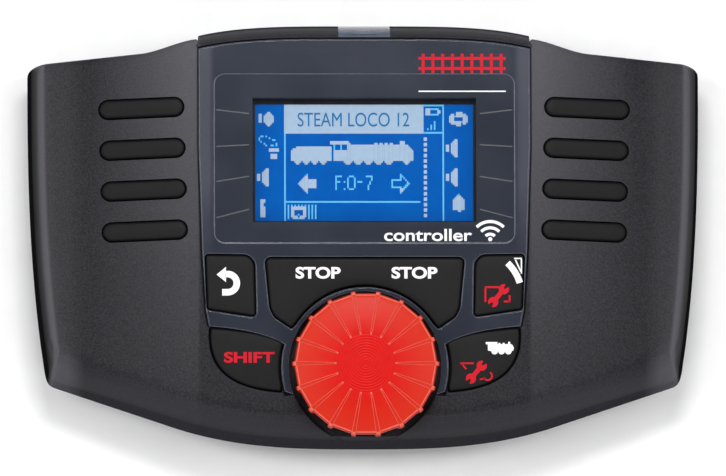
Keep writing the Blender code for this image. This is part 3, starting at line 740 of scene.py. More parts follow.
def build_case_screws(material):
    """Pan-head screws that face the back, each with a cross recess."""
    low, high = box_mm("case_screw_1")
    head = low[2]
    head_radius = 2.7
    core_radius = 0.95
    thread_radius = 1.25
    profile = [(0, head)]
    for angle in np.radians(np.linspace(12, 90, 8)):
        profile.append((head_radius * math.sin(angle), head + 0.9 * (1 - math.cos(angle))))
    profile += [(head_radius, 3.9), (thread_radius, 3.9)]
    for i in range(30):
        profile.append((thread_radius if i % 2 else core_radius, 4.4 + (high[2] - 6.0) * i / 30 * 0.96))
    profile += [(0, high[2])]
    recess = ((1.7, 0.36, head - 1), (1.5, 0.32, head + 0.2), (0.5, 0.22, head + 1.5))
    for number in range(1, 7):
        low, high = box_mm(f"case_screw_{number}")
        centre = ((low[0] + high[0]) / 2, (low[1] + high[1]) / 2)
        cross = []
        for turn in (math.radians(20), math.radians(110)):
            cross.append(lofted_parts([at_height(rotated(rectangle(-x, x, -y, y), turn, centre), z)
                                       for x, y, z in recess]))
        parts = cut_parts(turned_parts(profile, 32, centre), [("DIFFERENCE", cross)])
        add_piece(f"cross_screw_{number}", parts, "housing", material, "steel", f"case_screw_{number}",
                  sharp=30)


# Keys

KEY_TOP_Z = box_mm("stop_key")[1][2]
KEY_FOOT_Z = 23.4
KEY_FLANGE_Z = 25.0
KEY_LIP = 0.55


def clear_of_well(outline):
    """The outline with each point that would run into the knob's well moved out to the web round it."""
    least = WEB_RADIUS + 0.2
    moved = []
    for x, y in outline:
        push = max(1.0, least / math.hypot(x, y - KNOB_Y))
        moved.append((x * push, KNOB_Y + (y - KNOB_Y) * push))
    return moved


def key_height(points, outline):
    """Top of a key: soft edges and a faint crown."""
    drop = lip_drop(points, [outline], KEY_LIP)
    crown = np.clip(distance_to(points, [outline], 6.0) / 6.0, 0, 1)
    return KEY_TOP_Z - 0.12 + 0.12 * smooth_step(crown) - drop


def build_middle_keys(material):
    """The five large keys, each a crowned cap on a flange that keeps it in."""
    for name, outline in KEY_OUTLINES.items():
        def surface(points, outline=outline):
            on_cap = inside(points, [grown(outline, 0.005)])
            return np.where(on_cap, key_height(points, outline), KEY_FLANGE_Z)

        guides = [grown(outline, 0.01), outline]
        guides += [grown(outline, -KEY_LIP * share) for share in (0.05, 0.15, 0.35, 0.65, 1)]
        flange = clear_of_well(grown(outline, 0.8))
        parts = relief_parts([flange], guides, surface, KEY_FOOT_Z, 1.8)
        add_piece(f"{name}_cap", parts, name, material, "black_key_plastic", name)


def under_face(outline, drop=0.0):
    """The outline just under the front shell's plate, or lower by a drop."""
    least = PLATE_UNDERSIDE_Z - GAP
    return [(x, y, min(float(face_height(x)) - WALL - 2 * GAP, least) - drop) for x, y in outline]


def build_function_keys(material):
    """The eight slot-shaped keys, each a rounded cap on a flange under the face."""
    for side, word, index in FUNCTION_KEYS:
        name = f"function_key_{word}_{index + 1}"
        flange = function_key_outline(side, index, 0.5)
        rings = [at_height(flange, box_mm(name)[0][2]), under_face(flange, 0.7), under_face(flange),
                 under_face(function_key_outline(side, index))]
        for inset in (0.0, 0.02, 0.08, 0.2, 0.36, KEY_LIP, 1.0, 1.5, 2.05):
            bend = max(0.0, 1 - inset / KEY_LIP)
            rise = 0.05 + 0.7 * math.sqrt(1 - bend ** 2) + 0.07 * inset
            ring = function_key_outline(side, index, -inset)
            rings.append([(x, y, float(face_height(x)) + rise) for x, y in ring])
        add_piece(f"{name}_cap", lofted_parts(rings), name, material, "black_key_plastic", name)


# Knob

RIB_COUNT = 18
RIB_PITCH = math.tau / RIB_COUNT
RIB_HALF_ANGLE = 0.034
RIB_FLANK = 0.16
RIB_START = 6.9
GROOVE_PITCH = 0.64
GROOVE_DEPTH = 0.022


def knob_columns(radius):
    """Angle of each column of the knob and how much of a rib's height it has, at a distance from the axis."""
    foot = RIB_HALF_ANGLE
    flank = min(RIB_FLANK / max(radius, 3.0), foot * 0.9)
    flanks = [(foot, 0.0), (foot - flank * 0.5, 0.75), (foot - flank, 1.0)]
    columns = []
    for rib in range(RIB_COUNT):
        base = RIB_PITCH * rib
        for side in (-1, 1):
            columns += [(base + side * angle, height) for angle, height in flanks[::-side]]
        for share in (0.05, 0.28, 0.5, 0.72, 0.95):
            columns.append((base + foot + (RIB_PITCH - 2 * foot) * share, 0.0))
    return columns


def knob_ring(radius, z, facet=0, rib_up=0, rib_out=0):
    """Ring of the knob, straight between its ribs at a facet of 1. The ribs stand up and out of it."""
    ring = []
    for angle, rib in knob_columns(radius):
        off = (angle % RIB_PITCH) - RIB_PITCH / 2
        chord = math.cos(RIB_PITCH / 2) / math.cos(off)
        reach = radius * (1 + (chord - 1) * facet) + rib * rib_out
        ring.append((reach * math.cos(angle), KNOB_Y + reach * math.sin(angle), z + rib * rib_up))
    return ring


def build_knob(material, painted_highlight_material):
    """Hollow ribbed knob, in rings from inside its boss, round its skirt, to the middle of its face."""
    crown = KNOB_TOP_Z - 0.34
    skirt = 16.9
    skirt_top = 37.75
    draft = 0.1
    shoulder = 1.1
    shoulder_end = math.radians(78)
    rib_out = KNOB_REACH - skirt
    rib_up = 0.28
    inside_of_skirt = 14.9
    boss = ((0.2, 38.0), (3.3, 38.0), (3.3, 33.8), (4.6, 33.8), (4.6, 37.3))
    rings = [knob_ring(radius, z) for radius, z in boss]
    rings += [knob_ring(inside_of_skirt, z) for z in (37.3, KNOB_BASE_Z)]
    rings.append(knob_ring(skirt - 1.4, KNOB_BASE_Z, 1, 0, rib_out * 0.4))
    for z in (KNOB_BASE_Z + 0.3, 30.0, 33.0, 36.0, 37.2):
        rings.append(knob_ring(skirt - draft * (skirt_top - z), z, 1, 0, rib_out))
    for angle in np.linspace(0, shoulder_end, 8):
        start = skirt - shoulder * (1 - math.cos(angle))
        start_z = skirt_top + shoulder * math.sin(angle)
        rings.append(knob_ring(start, start_z, 1, rib_up * math.sin(angle), rib_out * math.cos(angle)))
    for share in np.linspace(0, 1, 12)[1:]:
        radius = start + (RIB_START + 0.5 - start) * share
        z = start_z + (crown - start_z) * (1 - (1 - share) ** 1.6)
        rings.append(knob_ring(radius, z, 1 - share, rib_up))
    rings.append(knob_ring(RIB_START + 0.2, crown, 0, rib_up / 2))
    for radius in np.arange(RIB_START, 0.3, -GROOVE_PITCH / 4):
        groove = GROOVE_DEPTH * math.sin(radius * math.tau / GROOVE_PITCH)
        rings.append(knob_ring(radius, crown + groove + 0.05 * (1 - radius / RIB_START)))
    parts = lofted_parts(rings)
    knob = add_piece("control_knob_cap", parts, "control_knob", material, "red_plastic", "control_knob",
                     sharp=28)
    # Painted highlight on the sloping faces of the knob's ribs and rim, near its top
    brighten_bevels(knob, painted_highlight_material, 18, 80, KNOB_TOP_Z - 1.5)


# Display

DOT_COLUMNS = 128
DOT_ROWS = 64
DOT_WIDTH = 0.402
DOT_HEIGHT = 0.432
DOT_GAP = 0.012
DISPLAY_LEFT = -DOT_WIDTH * DOT_COLUMNS / 2
DISPLAY_TOP = 30.5
GLASS_TOP = box_mm("display_glass")[1][2]
ACTIVE_AREA_Z = (GLASS_TOP - 0.25, GLASS_TOP - 0.12)
DOTS_Z = (GLASS_TOP - 0.11, GLASS_TOP - 0.05)
TITLE_Z = (GLASS_TOP - 0.045, GLASS_TOP - 0.01)
def ellipse(column, row, half_width, half_height, steps=32):
    return [(column + half_width * math.cos(a), row + half_height * math.sin(a))
            for a in np.linspace(0, math.tau, steps, endpoint=False)]


def paint(dots, outline, lit=True):
    """Lights or clears the dots whose middles lie inside an outline of (column, row) points."""
    rows, columns = np.mgrid[0:DOT_ROWS, 0:DOT_COLUMNS]
    middles = np.column_stack([columns.ravel() + 0.5, rows.ravel() + 0.5])
    dots[inside(middles, [outline]).reshape(dots.shape)] = lit


def paint_boxes(dots, boxes, lit=True):
    """Lights or clears the dots in boxes of (left, top, right, bottom)."""
    for left, top, right, bottom in boxes:
        dots[top:bottom, left:right] = lit


def paint_loco(dots):
    """A steam engine with its tender, seen from the side."""
    tender = [(20.9, 25), (24.5, 23), (44.9, 23), (44.9, 31), (20.9, 31)]
    boiler = [(46, 21), (55, 20), (57, 22), (89, 22), (93, 25), (93, 31), (46, 31)]
    paint(dots, tender)
    paint(dots, boiler)
    domes = [(column, 21, column + 2, 22) for column in (70, 73, 76, 79)]
    paint_boxes(dots, [(44, 20, 55, 22), (85, 20, 88, 22)] + domes)
    paint_boxes(dots, [(47, 22, 50, 25), (51, 22, 54, 25)], False)
    wheels = [(column, 2.6, 0.9) for column in (25, 30, 35, 40, 89)]
    wheels += [(column, 3.0, 1.4) for column in (54.5, 60.5, 66.5, 72.5, 78.5)]
    for column, upper, lower in wheels:
        paint(dots, [(column - upper, 31), (column + upper, 31), (column + lower, 33.2),
                     (column - lower, 33.2)])


def paint_speaker(dots, column, row):
    paint_boxes(dots, [(column, row - 2, column + 2, row + 2)])
    paint(dots, [(column + 3, row - 2.4), (column + 7.2, row - 6), (column + 7.2, row + 6),
                 (column + 3, row + 2.4)])


def paint_left_icons(dots):
    """Lamp, smoke from a chimney, loudspeaker and lever."""
    paint(dots, ellipse(8.0, 7.9, 3.2, 3.8))
    for step in range(26):
        if step % 3:
            angle = math.tau * step / 26
            column = 7.5 + 5.4 * math.cos(angle)
            row = 20.2 + 2.3 * math.sin(angle) + 0.28 * (column - 7.5)
            dots[int(row), int(column)] = True
    paint_speaker(dots, 1, 40)
    paint_boxes(dots, [(2, 5, 4, 10), (8, 24, 14, 26), (9, 27, 13, 30), (3, 52, 6, 62)])
    paint_boxes(dots, [(5, 54, 6, 56)], False)


def paint_right_icons(dots):
    """Turning arrows, two loudspeakers and a bell."""
    paint(dots, ellipse(119.5, 7.8, 5.6, 3.9))
    paint(dots, ellipse(119.5, 7.8, 2.6, 1.2), False)
    paint_boxes(dots, [(117, 3, 118, 6), (121, 10, 122, 13)], False)
    paint_speaker(dots, 112, 24)
    paint_speaker(dots, 112, 40)
    paint(dots, [(116.2, 57.6), (116.2, 52.6), (119.6, 49.4), (122.9, 52.6), (122.9, 57.6)])
    paint_boxes(dots, [(119, 58, 121, 59)])


def paint_arrows(dots):
    """A solid arrow to the left, and a hollow one to the right."""
    left = [(25.1, 43.4), (31.0, 37.8), (31.0, 40.9), (36.2, 40.9), (36.2, 45.9), (31.0, 45.9), (31.0, 49.0)]
    hollow = [(80.9, 41.9), (86.1, 41.9), (86.1, 40.0), (89.4, 43.4), (86.1, 46.8), (86.1, 44.9),
              (80.9, 44.9)]
    paint(dots, left)
    paint(dots, [(116.1 - column, row) for column, row in left])
    paint(dots, hollow, False)


def paint_function_range(dots):
    """The characters F:0-7 in single lines of dots."""
    letter = [(47, 39, 48, 47), (47, 39, 51, 40), (47, 42, 50, 43)]
    colon = [(52, 42, 53, 43), (52, 46, 53, 47)]
    nought = [(54, 40, 55, 46), (58, 40, 59, 46), (55, 39, 58, 40), (55, 46, 58, 47)]
    dash = [(60, 42, 63, 43)]
    seven = [(65, 39, 69, 40), (68, 40, 69, 42), (67, 42, 68, 44), (66, 44, 67, 47)]
    paint_boxes(dots, letter + colon + nought + dash + seven)


def paint_gauge(dots):
    """The front of an engine between the bars of a speed gauge."""
    bars = [(column, 55, column + 1, 63) for column in (19, 31, 33, 35)]
    teeth = [(column, 55, column + 1, 56) for column in (21, 23, 25, 27, 29)]
    paint_boxes(dots, bars + teeth + [(21, 56, 30, 62), (22, 62, 29, 63)])
    paint(dots, ellipse(25.5, 59.2, 2.6, 2.4), False)
    paint_boxes(dots, [(24, 57, 27, 58), (25, 60, 26, 61)])


def paint_frame(dots):
    """Rules round the title, the engine and the gauge, with a battery, a ramp of bars and a scale."""
    rules = [(17, 0, 18, 64), (17, 0, 99, 16), (99, 0, 111, 1), (99, 15, 111, 16), (110, 0, 111, 64),
             (18, 53, 97, 54)]
    battery = [(100, 2, 108, 6), (108, 3, 109, 5)]
    ramp = [(column, top, column + 1, 14) for column, top in ((101, 13), (103, 11), (105, 9))]
    scale = [(99, row, 101, row + 2) for row in range(18, 62, 3)]
    paint_boxes(dots, rules + battery + ramp + scale)
    paint_boxes(dots, [(103, 3, 107, 5)], False)


def display_dots():
    """Which dots of the display are lit."""
    dots = np.zeros((DOT_ROWS, DOT_COLUMNS), bool)
    for draw in (paint_frame, paint_loco, paint_arrows, paint_function_range, paint_left_icons,
                 paint_right_icons, paint_gauge):
        draw(dots)
    return dots


def solid_dots(dots):
    """Lit dots that belong to a block of two by two, so not to a single line."""
    block = dots[:-1, :-1] & dots[1:, :-1] & dots[:-1, 1:] & dots[1:, 1:]
    solid = np.zeros_like(dots)
    for rows in (slice(None, -1), slice(1, None)):
        for columns in (slice(None, -1), slice(1, None)):
            solid[rows, columns] |= block
    return solid


def dot_boxes(dots):
    """Lit dots gathered into rectangles of (left, top, right, bottom)."""
    left_over = dots.copy()
    boxes = []
    for row in range(DOT_ROWS):
        column = 0
        while column < DOT_COLUMNS:
            if not left_over[row, column]:
                column += 1
                continue
            end = column
            while end < DOT_COLUMNS and left_over[row, end]:
                end += 1
            bottom = row + 1
            while bottom < DOT_ROWS and left_over[bottom, column:end].all():
                bottom += 1
            left_over[row:bottom, column:end] = False
            boxes.append((column, row, end, bottom))
            column = end
    return boxes


def display_place(column, row):
    return DISPLAY_LEFT + column * DOT_WIDTH, DISPLAY_TOP - row * DOT_HEIGHT


def text_parts(words, left, right, base, height, low, high, bold=0.0):
    """Vertices and faces of raised lettering that fills the width from left to right on a base line."""
    curve = bpy.data.curves.new("lettering", "FONT")
    curve.body = words
    curve.size = 10.0
    curve.offset = bold
    curve.extrude = 0.5
    thing = placed("lettering", curve)
    view = bpy.context.evaluated_depsgraph_get()
    mesh = bpy.data.meshes.new_from_object(thing.evaluated_get(view))
    points = np.array([tuple(vertex.co) for vertex in mesh.vertices])
    bpy.data.objects.remove(thing, do_unlink=True)
    first = points.min(axis=0)
    scale = np.array([right - left, height, high - low]) / (points.max(axis=0) - first)
    moved = np.array([left, base, low]) + (points - first) * scale
    return moved.tolist(), [tuple(polygon.vertices) for polygon in mesh.polygons]


def build_display_glass(mask, glass):
    """Plate of glass with a black border round its blue active area."""
    low, high = box_mm("display_glass")
    outline = rounded_box(low[0], high[0], low[1], high[1], 0.4, 4)
    rings = [at_height(outline, low[2]), at_height(outline, GLASS_TOP - 0.35),
             at_height(grown(outline, -0.1), GLASS_TOP - 0.2)]
    add_piece("display_glass_plate", lofted_parts(rings), "housing", mask, "display_glass", "display_glass")
    left, top = display_place(0, 0)
    right, bottom = display_place(DOT_COLUMNS, DOT_ROWS)
    active = box_parts((left, right), (bottom, top), ACTIVE_AREA_Z)
    add_piece("display_active_area", active, "housing", glass, "display_glass")


def build_display_dots(lit, thin):
    """The lit dots as low blocks: one piece for solid areas and one for single lines."""
    dots = display_dots()
    solid = solid_dots(dots)
    for name, chosen, material in (("areas", solid, lit), ("lines", dots & ~solid, thin)):
        boxes = []
        for left, top, right, bottom in dot_boxes(chosen):
            x0, y1 = display_place(left, top)
            x1, y0 = display_place(right, bottom)
            boxes.append(box_parts((x0 + DOT_GAP, x1 - DOT_GAP), (y0 + DOT_GAP, y1 - DOT_GAP), DOTS_Z))
        add_piece(f"display_lit_{name}", join_parts(boxes), "housing", material, "light_guide")


def build_display_title(ink):
    left, base = display_place(25.0, 12.1)
    right = display_place(90.6, 0)[0]
    words = text_parts("STEAM LOCO 12", left, right, base, 3.3, *TITLE_Z)
    add_piece("display_title", words, "housing", ink, "display_glass")


def build_display_panel(material):
    """Dark panel with a window whose edge is rounded over."""
    window = rounded_box(-WINDOW_HALF_WIDTH, WINDOW_HALF_WIDTH, *WINDOW_Y, 0.3, 4)
    low, high = box_mm("display_panel")
    edge = rounded_box(low[0], high[0], low[1], high[1], 2)

    def surface(points):
        return high[2] - lip_drop(points, [window], 0.5)

    parts = relief_parts([edge, window], lip_rows(window, 1, 0.5)[:3], surface, low[2], 4.0)
    add_piece("display_panel_plate", parts, "housing", material, "panel_plastic", "display_panel")


COVER_TOP = FACE_Z - PANEL_DEPTH
PRINT_RISE = (0.005, 0.03)
MARK_X = (12.8, 33.4)


def stroke(points, width):
    """Outline of a band of constant width along a line of points."""
    left = []
    right = []
    for i, (x, y) in enumerate(points):
        before = points[max(i - 1, 0)]
        after = points[min(i + 1, len(points) - 1)]
        along = Vector((after[0] - before[0], after[1] - before[1])).normalized()
        left.append((x - along.y * width / 2, y + along.x * width / 2))
        right.append((x + along.y * width / 2, y - along.x * width / 2))
    return right + left[::-1]


def strokes(paths, width, low, high):
    """Raised bands of one width along several lines."""
    return [flat_parts(stroke(path, width), low, high) for path in paths]


def build_panel_ridges(material):
    """Fanned ridges beside the display."""
    outer_x = 34.9
    inner_x = 27.2
    paths = []
    for side in (-1, 1):
        for outer_y, inner_y in ((28.8, 27.9), (20.1, 20.5), (11.8, 13.0), (3.2, 5.2)):
            paths.append([(side * outer_x, outer_y), (side * inner_x, inner_y)])
    ridges = strokes(paths, 0.3, COVER_TOP - 0.02, COVER_TOP + 0.06)
    add_piece("panel_ridges", join_parts(ridges), "housing", material, "panel_plastic")


def build_cover_prints(white, red):
    """The printed marks on the cover: a word, a rule and radio waves in white, and a track in red."""
    waves_x = 29.6
    heights = [COVER_TOP + rise for rise in PRINT_RISE]
    marks = [text_parts("controller", 4.6, 25.3, -2.35, 2.9, *heights, 0.15)]
    marks.append(flat_parts(rectangle(*MARK_X, 33.05, 33.35), *heights))
    marks += strokes([arc(radius, 45, 135, 16, (waves_x, -2.2)) for radius in (1.5, 3.0, 4.5)], 0.7, *heights)
    marks.append(flat_parts(circle(0.5, 16, (waves_x, -1.9)), *heights))
    add_piece("cover_print_white", join_parts(marks), "housing", white, "light_guide")

    half_line = 0.35
    outlines = [rectangle(*MARK_X, y - half_line, y + half_line) for y in (38.6, 41.0)]
    for sleeper in range(9):
        x = 13.9 + 2.3 * sleeper
        for ends in ((37.5, 38.2), (39.0, 40.6), (41.4, 42.1)):
            outlines.append(rectangle(x - half_line, x + half_line, *ends))
    track = [flat_parts(outline, *[FACE_Z + rise for rise in PRINT_RISE]) for outline in outlines]
    add_piece("cover_print_red", join_parts(track), "housing", red, "red_plastic")


# Prints on the keys

KEY_PRINT_Z = (KEY_TOP_Z - 0.03, KEY_TOP_Z + 0.02)


def wrench_outline(centre, length, angle):
    """An open-ended spanner at both ends, as one closed outline."""
    head = length * 0.19
    shaft = length * 0.085
    jaw = math.radians(24)
    neck = math.asin(shaft / head)
    lower = [(head * math.cos(a), head * math.sin(a)) for a in np.linspace(neck - math.pi, -jaw, 10)]
    lower.append((head * 0.15, -head * 0.4 * math.sin(jaw)))
    end = lower + [(x, -y) for x, y in reversed(lower)]
    half = [(length / 2 - head + x, y) for x, y in end]
    return rotated(half + [(-x, -y) for x, y in half], angle, centre)


def loco_outline(left, base, width):
    """Side view of a small tank engine with its wheels."""
    unit = width / 20
    points = [(0.2, 8.4), (0, 7.0), (1.6, 6.6), (1.6, 2.4)]
    for middle in (6.3, 11.2, 16.0):
        points += arc(2.35, 180, 360, 9, (middle, 2.0))
    points += [(19.4, 2.4), (19.9, 4.4), (18.6, 6.6), (17.4, 6.9), (17.2, 8.6), (16.0, 8.6), (15.8, 6.9),
               (13.6, 6.9), (13.2, 7.8), (12.2, 7.8), (11.8, 6.9), (10.6, 6.9), (10.2, 7.8), (9.2, 7.8),
               (8.8, 6.9), (8.2, 7.1), (8.4, 8.4)]
    return [(left + x * unit, base + y * unit) for x, y in points]


def build_word_prints(white, red):
    """The words on the stop key and the shift key."""
    for name, ends in (("left", (-16.3, -5.7)), ("right", (6.3, 17.1))):
        parts = text_parts("STOP", *ends, -11.3, 2.8, *KEY_PRINT_Z, 0.35)
        add_piece(f"stop_print_{name}", parts, "stop_key", white, "light_guide")
    parts = text_parts("SHIFT", -33.2, -21.3, -31.2, 2.6, *KEY_PRINT_Z, 0.35)
    add_piece("shift_print", parts, "shift_key", red, "red_plastic")


def build_pictograms(white):
    """A bent arrow on the back key, and a turnout with its frog on the turnout key."""
    bend = [(-33.6, -14.5)] + arc(2.15, -90, 90, 20, (-32.3, -12.35)) + [(-32.8, -10.2)]
    arrow = strokes([bend], 1.55, *KEY_PRINT_Z)
    arrow.append(flat_parts([(-34.9, -10.3), (-32.7, -8.5), (-32.7, -12.1)], *KEY_PRINT_Z))
    turnout = strokes([arc(11.0, 17, 46, 16, (26.0, -15.5))], 1.5, *KEY_PRINT_Z)
    frog = ([(35.2, -6.5), (37.0, -6.5)], [(36.9, -6.6), (36.9, -10.1)], [(35.5, -6.8), (36.75, -9.6)])
    turnout += strokes(frog, 0.32, *KEY_PRINT_Z)
    for name, parts in (("back", arrow), ("turnout", turnout)):
        add_piece(f"{name}_print", join_parts(parts), f"{name}_key", white, "light_guide")


def build_spanner_prints(red):
    """A spanner with a frame of thin lines round it, on the turnout key and on the loco key."""
    turnout_lines = ([(-3.2, 2.0), (0.1, 2.0)], [(-3.1, 1.9), (-3.1, -1.5)], [(1.2, -1.4), (2.6, -1.4)],
                     [(2.6, -1.5), (2.6, 0.1)])
    loco_lines = ([(-3.8, 2.1), (-0.6, 2.1)], [(-3.4, 2.0), (-2.4, 0.7)], arc(1.0, -160, 60, 10, (2.7, -0.9)),
                  [(0.8, -1.7), (2.0, -1.5)])
    for name, centre, paths, width in (("turnout", (31.5, -15.3), turnout_lines, 0.45),
                                       ("loco", (26.2, -33.4), loco_lines, 0.4)):
        parts = [flat_parts(wrench_outline(centre, 6.4, math.radians(50)), *KEY_PRINT_Z)]
        parts += strokes([rotated(path, 0, centre) for path in paths], width, *KEY_PRINT_Z)
        add_piece(f"{name}_spanner_print", join_parts(parts), f"{name}_key", red, "red_plastic")


def build_loco_print(white):
    engine = flat_parts(loco_outline(28.4, -29.1, 6.7), *KEY_PRINT_Z)
    add_piece("loco_print", engine, "loco_key", white, "light_guide")


# Materials

PATCH_SIZE = 0.02        # of the areas with an uneven gloss, in metres


def node_material(name, roughness, metallic=0.0):
    """A new material with its node tree, its shader and its texture coordinates."""
    material = bpy.data.materials.new(name)
    material.use_nodes = True
    tree = material.node_tree
    shader = tree.nodes["Principled BSDF"]
    shader.inputs["Roughness"].default_value = roughness
    shader.inputs["Metallic"].default_value = metallic
    where = tree.nodes.new("ShaderNodeTexCoord")
    return material, tree, shader, where


def noise(tree, where, scale, detail=2.0, roughness=0.5):
    texture = tree.nodes.new("ShaderNodeTexNoise")
    texture.inputs["Scale"].default_value = scale
    texture.inputs["Detail"].default_value = detail
    texture.inputs["Roughness"].default_value = roughness
    tree.links.new(where.outputs["Object"], texture.inputs["Vector"])
    return texture.outputs["Fac"]


def colour_between(tree, factor, low, high):
    ramp = tree.nodes.new("ShaderNodeValToRGB")
    for element, position, colour in zip(ramp.color_ramp.elements, (0.3, 0.7), (low, high)):
        element.position = position
        element.color = (*colour, 1)
    tree.links.new(factor, ramp.inputs["Fac"])
    return ramp.outputs["Color"]


def value_between(tree, factor, low, high, start=0.0, end=1.0):
    spread = tree.nodes.new("ShaderNodeMapRange")
    for name, value in (("From Min", start), ("From Max", end), ("To Min", low), ("To Max", high)):
        spread.inputs[name].default_value = value
    tree.links.new(factor, spread.inputs["Value"])
    return spread.outputs["Result"]


def bump(tree, shader, height, distance):
    raised = tree.nodes.new("ShaderNodeBump")
    raised.inputs["Distance"].default_value = distance
    tree.links.new(height, raised.inputs["Height"])
    tree.links.new(raised.outputs["Normal"], shader.inputs["Normal"])


def grained(*finish):
    """Only the material of grained_tree."""
    return grained_tree(*finish)[0]


def grained_tree(name, low, high, roughness, grain_size, depth, shine=0.5, metallic=0.0):
    """A moulded surface: two colours speckled at the grain's size, uneven gloss, and the grain as a bump."""
    material, tree, shader, where = node_material(name, roughness, metallic)
    shader.inputs["Specular IOR Level"].default_value = shine
    grain = noise(tree, where, 1 / grain_size, 3.0, 0.6)
    gloss = value_between(tree, noise(tree, where, 1 / PATCH_SIZE), roughness - 0.06, roughness + 0.06)
    tree.links.new(colour_between(tree, grain, low, high), shader.inputs["Base Color"])
    tree.links.new(gloss, shader.inputs["Roughness"])
    bump(tree, shader, grain, depth)
    return material, tree, shader, where


def brighten_bevels(piece, material, gentlest, steepest, lowest=0.0):
    """Gives the narrow sloping faces along a moulding's edges a paler material, a painted highlight where they
    would catch the light.
    """
    piece.data.materials.append(material)
    for face in piece.data.polygons:
        slope = math.degrees(math.acos(max(-1.0, min(1.0, face.normal.z))))
        if gentlest < slope < steepest and face.center.z > lowest * MM:
            face.material_index = 1


def maths(tree, operation, first, second=0.0):
    """One step of arithmetic on values or sockets."""
    step = tree.nodes.new("ShaderNodeMath")
    step.operation = operation
    for socket, value in zip(step.inputs, (first, second)):
        if isinstance(value, float):
            socket.default_value = value
        else:
            tree.links.new(value, socket)
    return step.outputs["Value"]


def zone(tree, value, start, end, most=1.0):
    """How far a value has gone from one limit to the other, from 0 up to a most."""
    return value_between(tree, value, 0.0, most, start, end)


def overlap(tree, first, second):
    return maths(tree, "MULTIPLY", first, second)


def split_vector(tree, vector):
    split = tree.nodes.new("ShaderNodeSeparateXYZ")
    tree.links.new(vector, split.inputs["Vector"])
    return split.outputs


def mixed(tree, factor, base, colour):
    mix = tree.nodes.new("ShaderNodeMix")
    mix.data_type = "RGBA"
    tree.links.new(factor, mix.inputs["Factor"])
    tree.links.new(base, mix.inputs["A"])
    mix.inputs["B"].default_value = (*colour, 1)
    return mix.outputs["Result"]


def charcoal_plastic():
    """Grained plastic with painted light and shade: a sheen beside the seams, light on faces towards front and
    back, a highlight on the ends' shoulders, and near-black shade on the steep sides of the ends.
    """
    grain = ((0.002, 0.002, 0.0028), (0.022, 0.022, 0.028), 0.42, 0.0004, 0.00003)
    # Painted sheen: paler beside the seams and towards the top, where an overhead light would reflect
    painted_seam_sheen = (0.15, 0.148, 0.165)
    # Painted light: paler on the faces that slope towards the front and the back
    painted_light_front_and_back = (0.060, 0.058, 0.066)
    # Painted highlight on the shoulders of the wing ends, where the side ridge catches the light
    shoulder = (0.16, 0.155, 0.17)
    # Painted shade, nearly black, on the steep sides of the ends
    painted_wall_shade = (0.006, 0.006, 0.007)
    material, tree, shader, where = grained_tree("charcoal_plastic_grain", *grain)
    facing = split_vector(tree, where.outputs["Normal"])
    place = split_vector(tree, where.outputs["Object"])
    shine = value_between(tree, facing["Z"], 0.0, 0.12, 0.3, 0.8)
    tree.links.new(shine, shader.inputs["Specular IOR Level"])
    off_middle = maths(tree, "ABSOLUTE", place["X"])
    outward = maths(tree, "ABSOLUTE", facing["X"])
    endways = maths(tree, "ABSOLUTE", facing["Y"])
    ends = zone(tree, off_middle, 0.066, 0.070)
    seam = overlap(tree, zone(tree, off_middle, 0.064, 0.042), zone(tree, off_middle, 0.0386, 0.0394))
    colour = shader.inputs["Base Color"].links[0].from_socket
    # Mix the painted sheen, painted light, painted highlight and painted shade into the grain, each by its mask
    for cover, paint in ((overlap(tree, seam, zone(tree, place["Y"], -0.050, 0.045, 0.4)), painted_seam_sheen),
                         (zone(tree, endways, 0.15, 0.6, 0.4), painted_light_front_and_back),
                         (overlap(tree, zone(tree, outward, 0.15, 0.45, 0.5), ends), shoulder),
                         (overlap(tree, zone(tree, outward, 0.64, 0.92), ends), painted_wall_shade)):
        colour = mixed(tree, cover, colour, paint)
    tree.links.new(colour, shader.inputs["Base Color"])
    return material


# The plain finishes: darker and paler colour, roughness, size of the grain and depth of its bump in metres,
# and then how shiny and how metallic it is, where that isn't usual
FINISHES = {
    "black_key_satin": ((0.0050, 0.0046, 0.0047), (0.0078, 0.0072, 0.0073), 0.5, 0.0004, 0.00001, 0.12),
    "status_lens_gloss": ((0.062, 0.075, 0.110), (0.095, 0.110, 0.150), 0.12, 0.002, 0.000004),
    "panel_satin": ((0.020, 0.024, 0.038), (0.028, 0.033, 0.050), 0.40, 0.0007, 0.00001),
    "panel_ridge_grey": ((0.019, 0.020, 0.026), (0.026, 0.027, 0.034), 0.40, 0.0006, 0.00001),
    # The next two are paler finishes that serve as painted highlights on the knob's and the cover's sloping
    # edge faces
    "knob_red_painted_highlight": ((0.66, 0.110, 0.075), (0.74, 0.150, 0.105), 0.33, 0.0016, 0.000006, 0.1),
    "smoked_clear_painted_highlight": ((0.10, 0.11, 0.14), (0.16, 0.17, 0.21), 0.3, 0.002, 0.000002, 0.2),
    "display_black_border": ((0.004, 0.004, 0.005), (0.008, 0.008, 0.010), 0.3, 0.002, 0.000001, 0.1),
    "display_blue_glass": ((0.0, 0.075, 0.345), (0.0, 0.092, 0.385), 0.12, 0.004, 0.000001, 0.05),
    "pale_floor": ((0.90, 0.90, 0.90), (0.93, 0.93, 0.93), 0.8, 0.01, 0.00001),
    "moulded_black": ((0.010, 0.010, 0.011), (0.018, 0.018, 0.020), 0.5, 0.0005, 0.00002),
    "green_solder_mask": ((0.006, 0.075, 0.028), (0.012, 0.120, 0.046), 0.4, 0.003, 0.00001),
    "amber_polyimide": ((0.36, 0.16, 0.02), (0.50, 0.25, 0.05), 0.3, 0.002, 0.00001),
    "grey_silicone_matt": ((0.24, 0.24, 0.25), (0.33, 0.33, 0.34), 0.7, 0.0008, 0.00001),
    "milky_light_guide": ((0.80, 0.82, 0.85), (0.88, 0.90, 0.93), 0.3, 0.002, 0.000005),
    "cell_jacket_foil": ((0.10, 0.10, 0.12), (0.20, 0.20, 0.23), 0.3, 0.003, 0.000005, 0.5, 0.6),
}


def plain(name):
    return grained(name, *FINISHES[name])


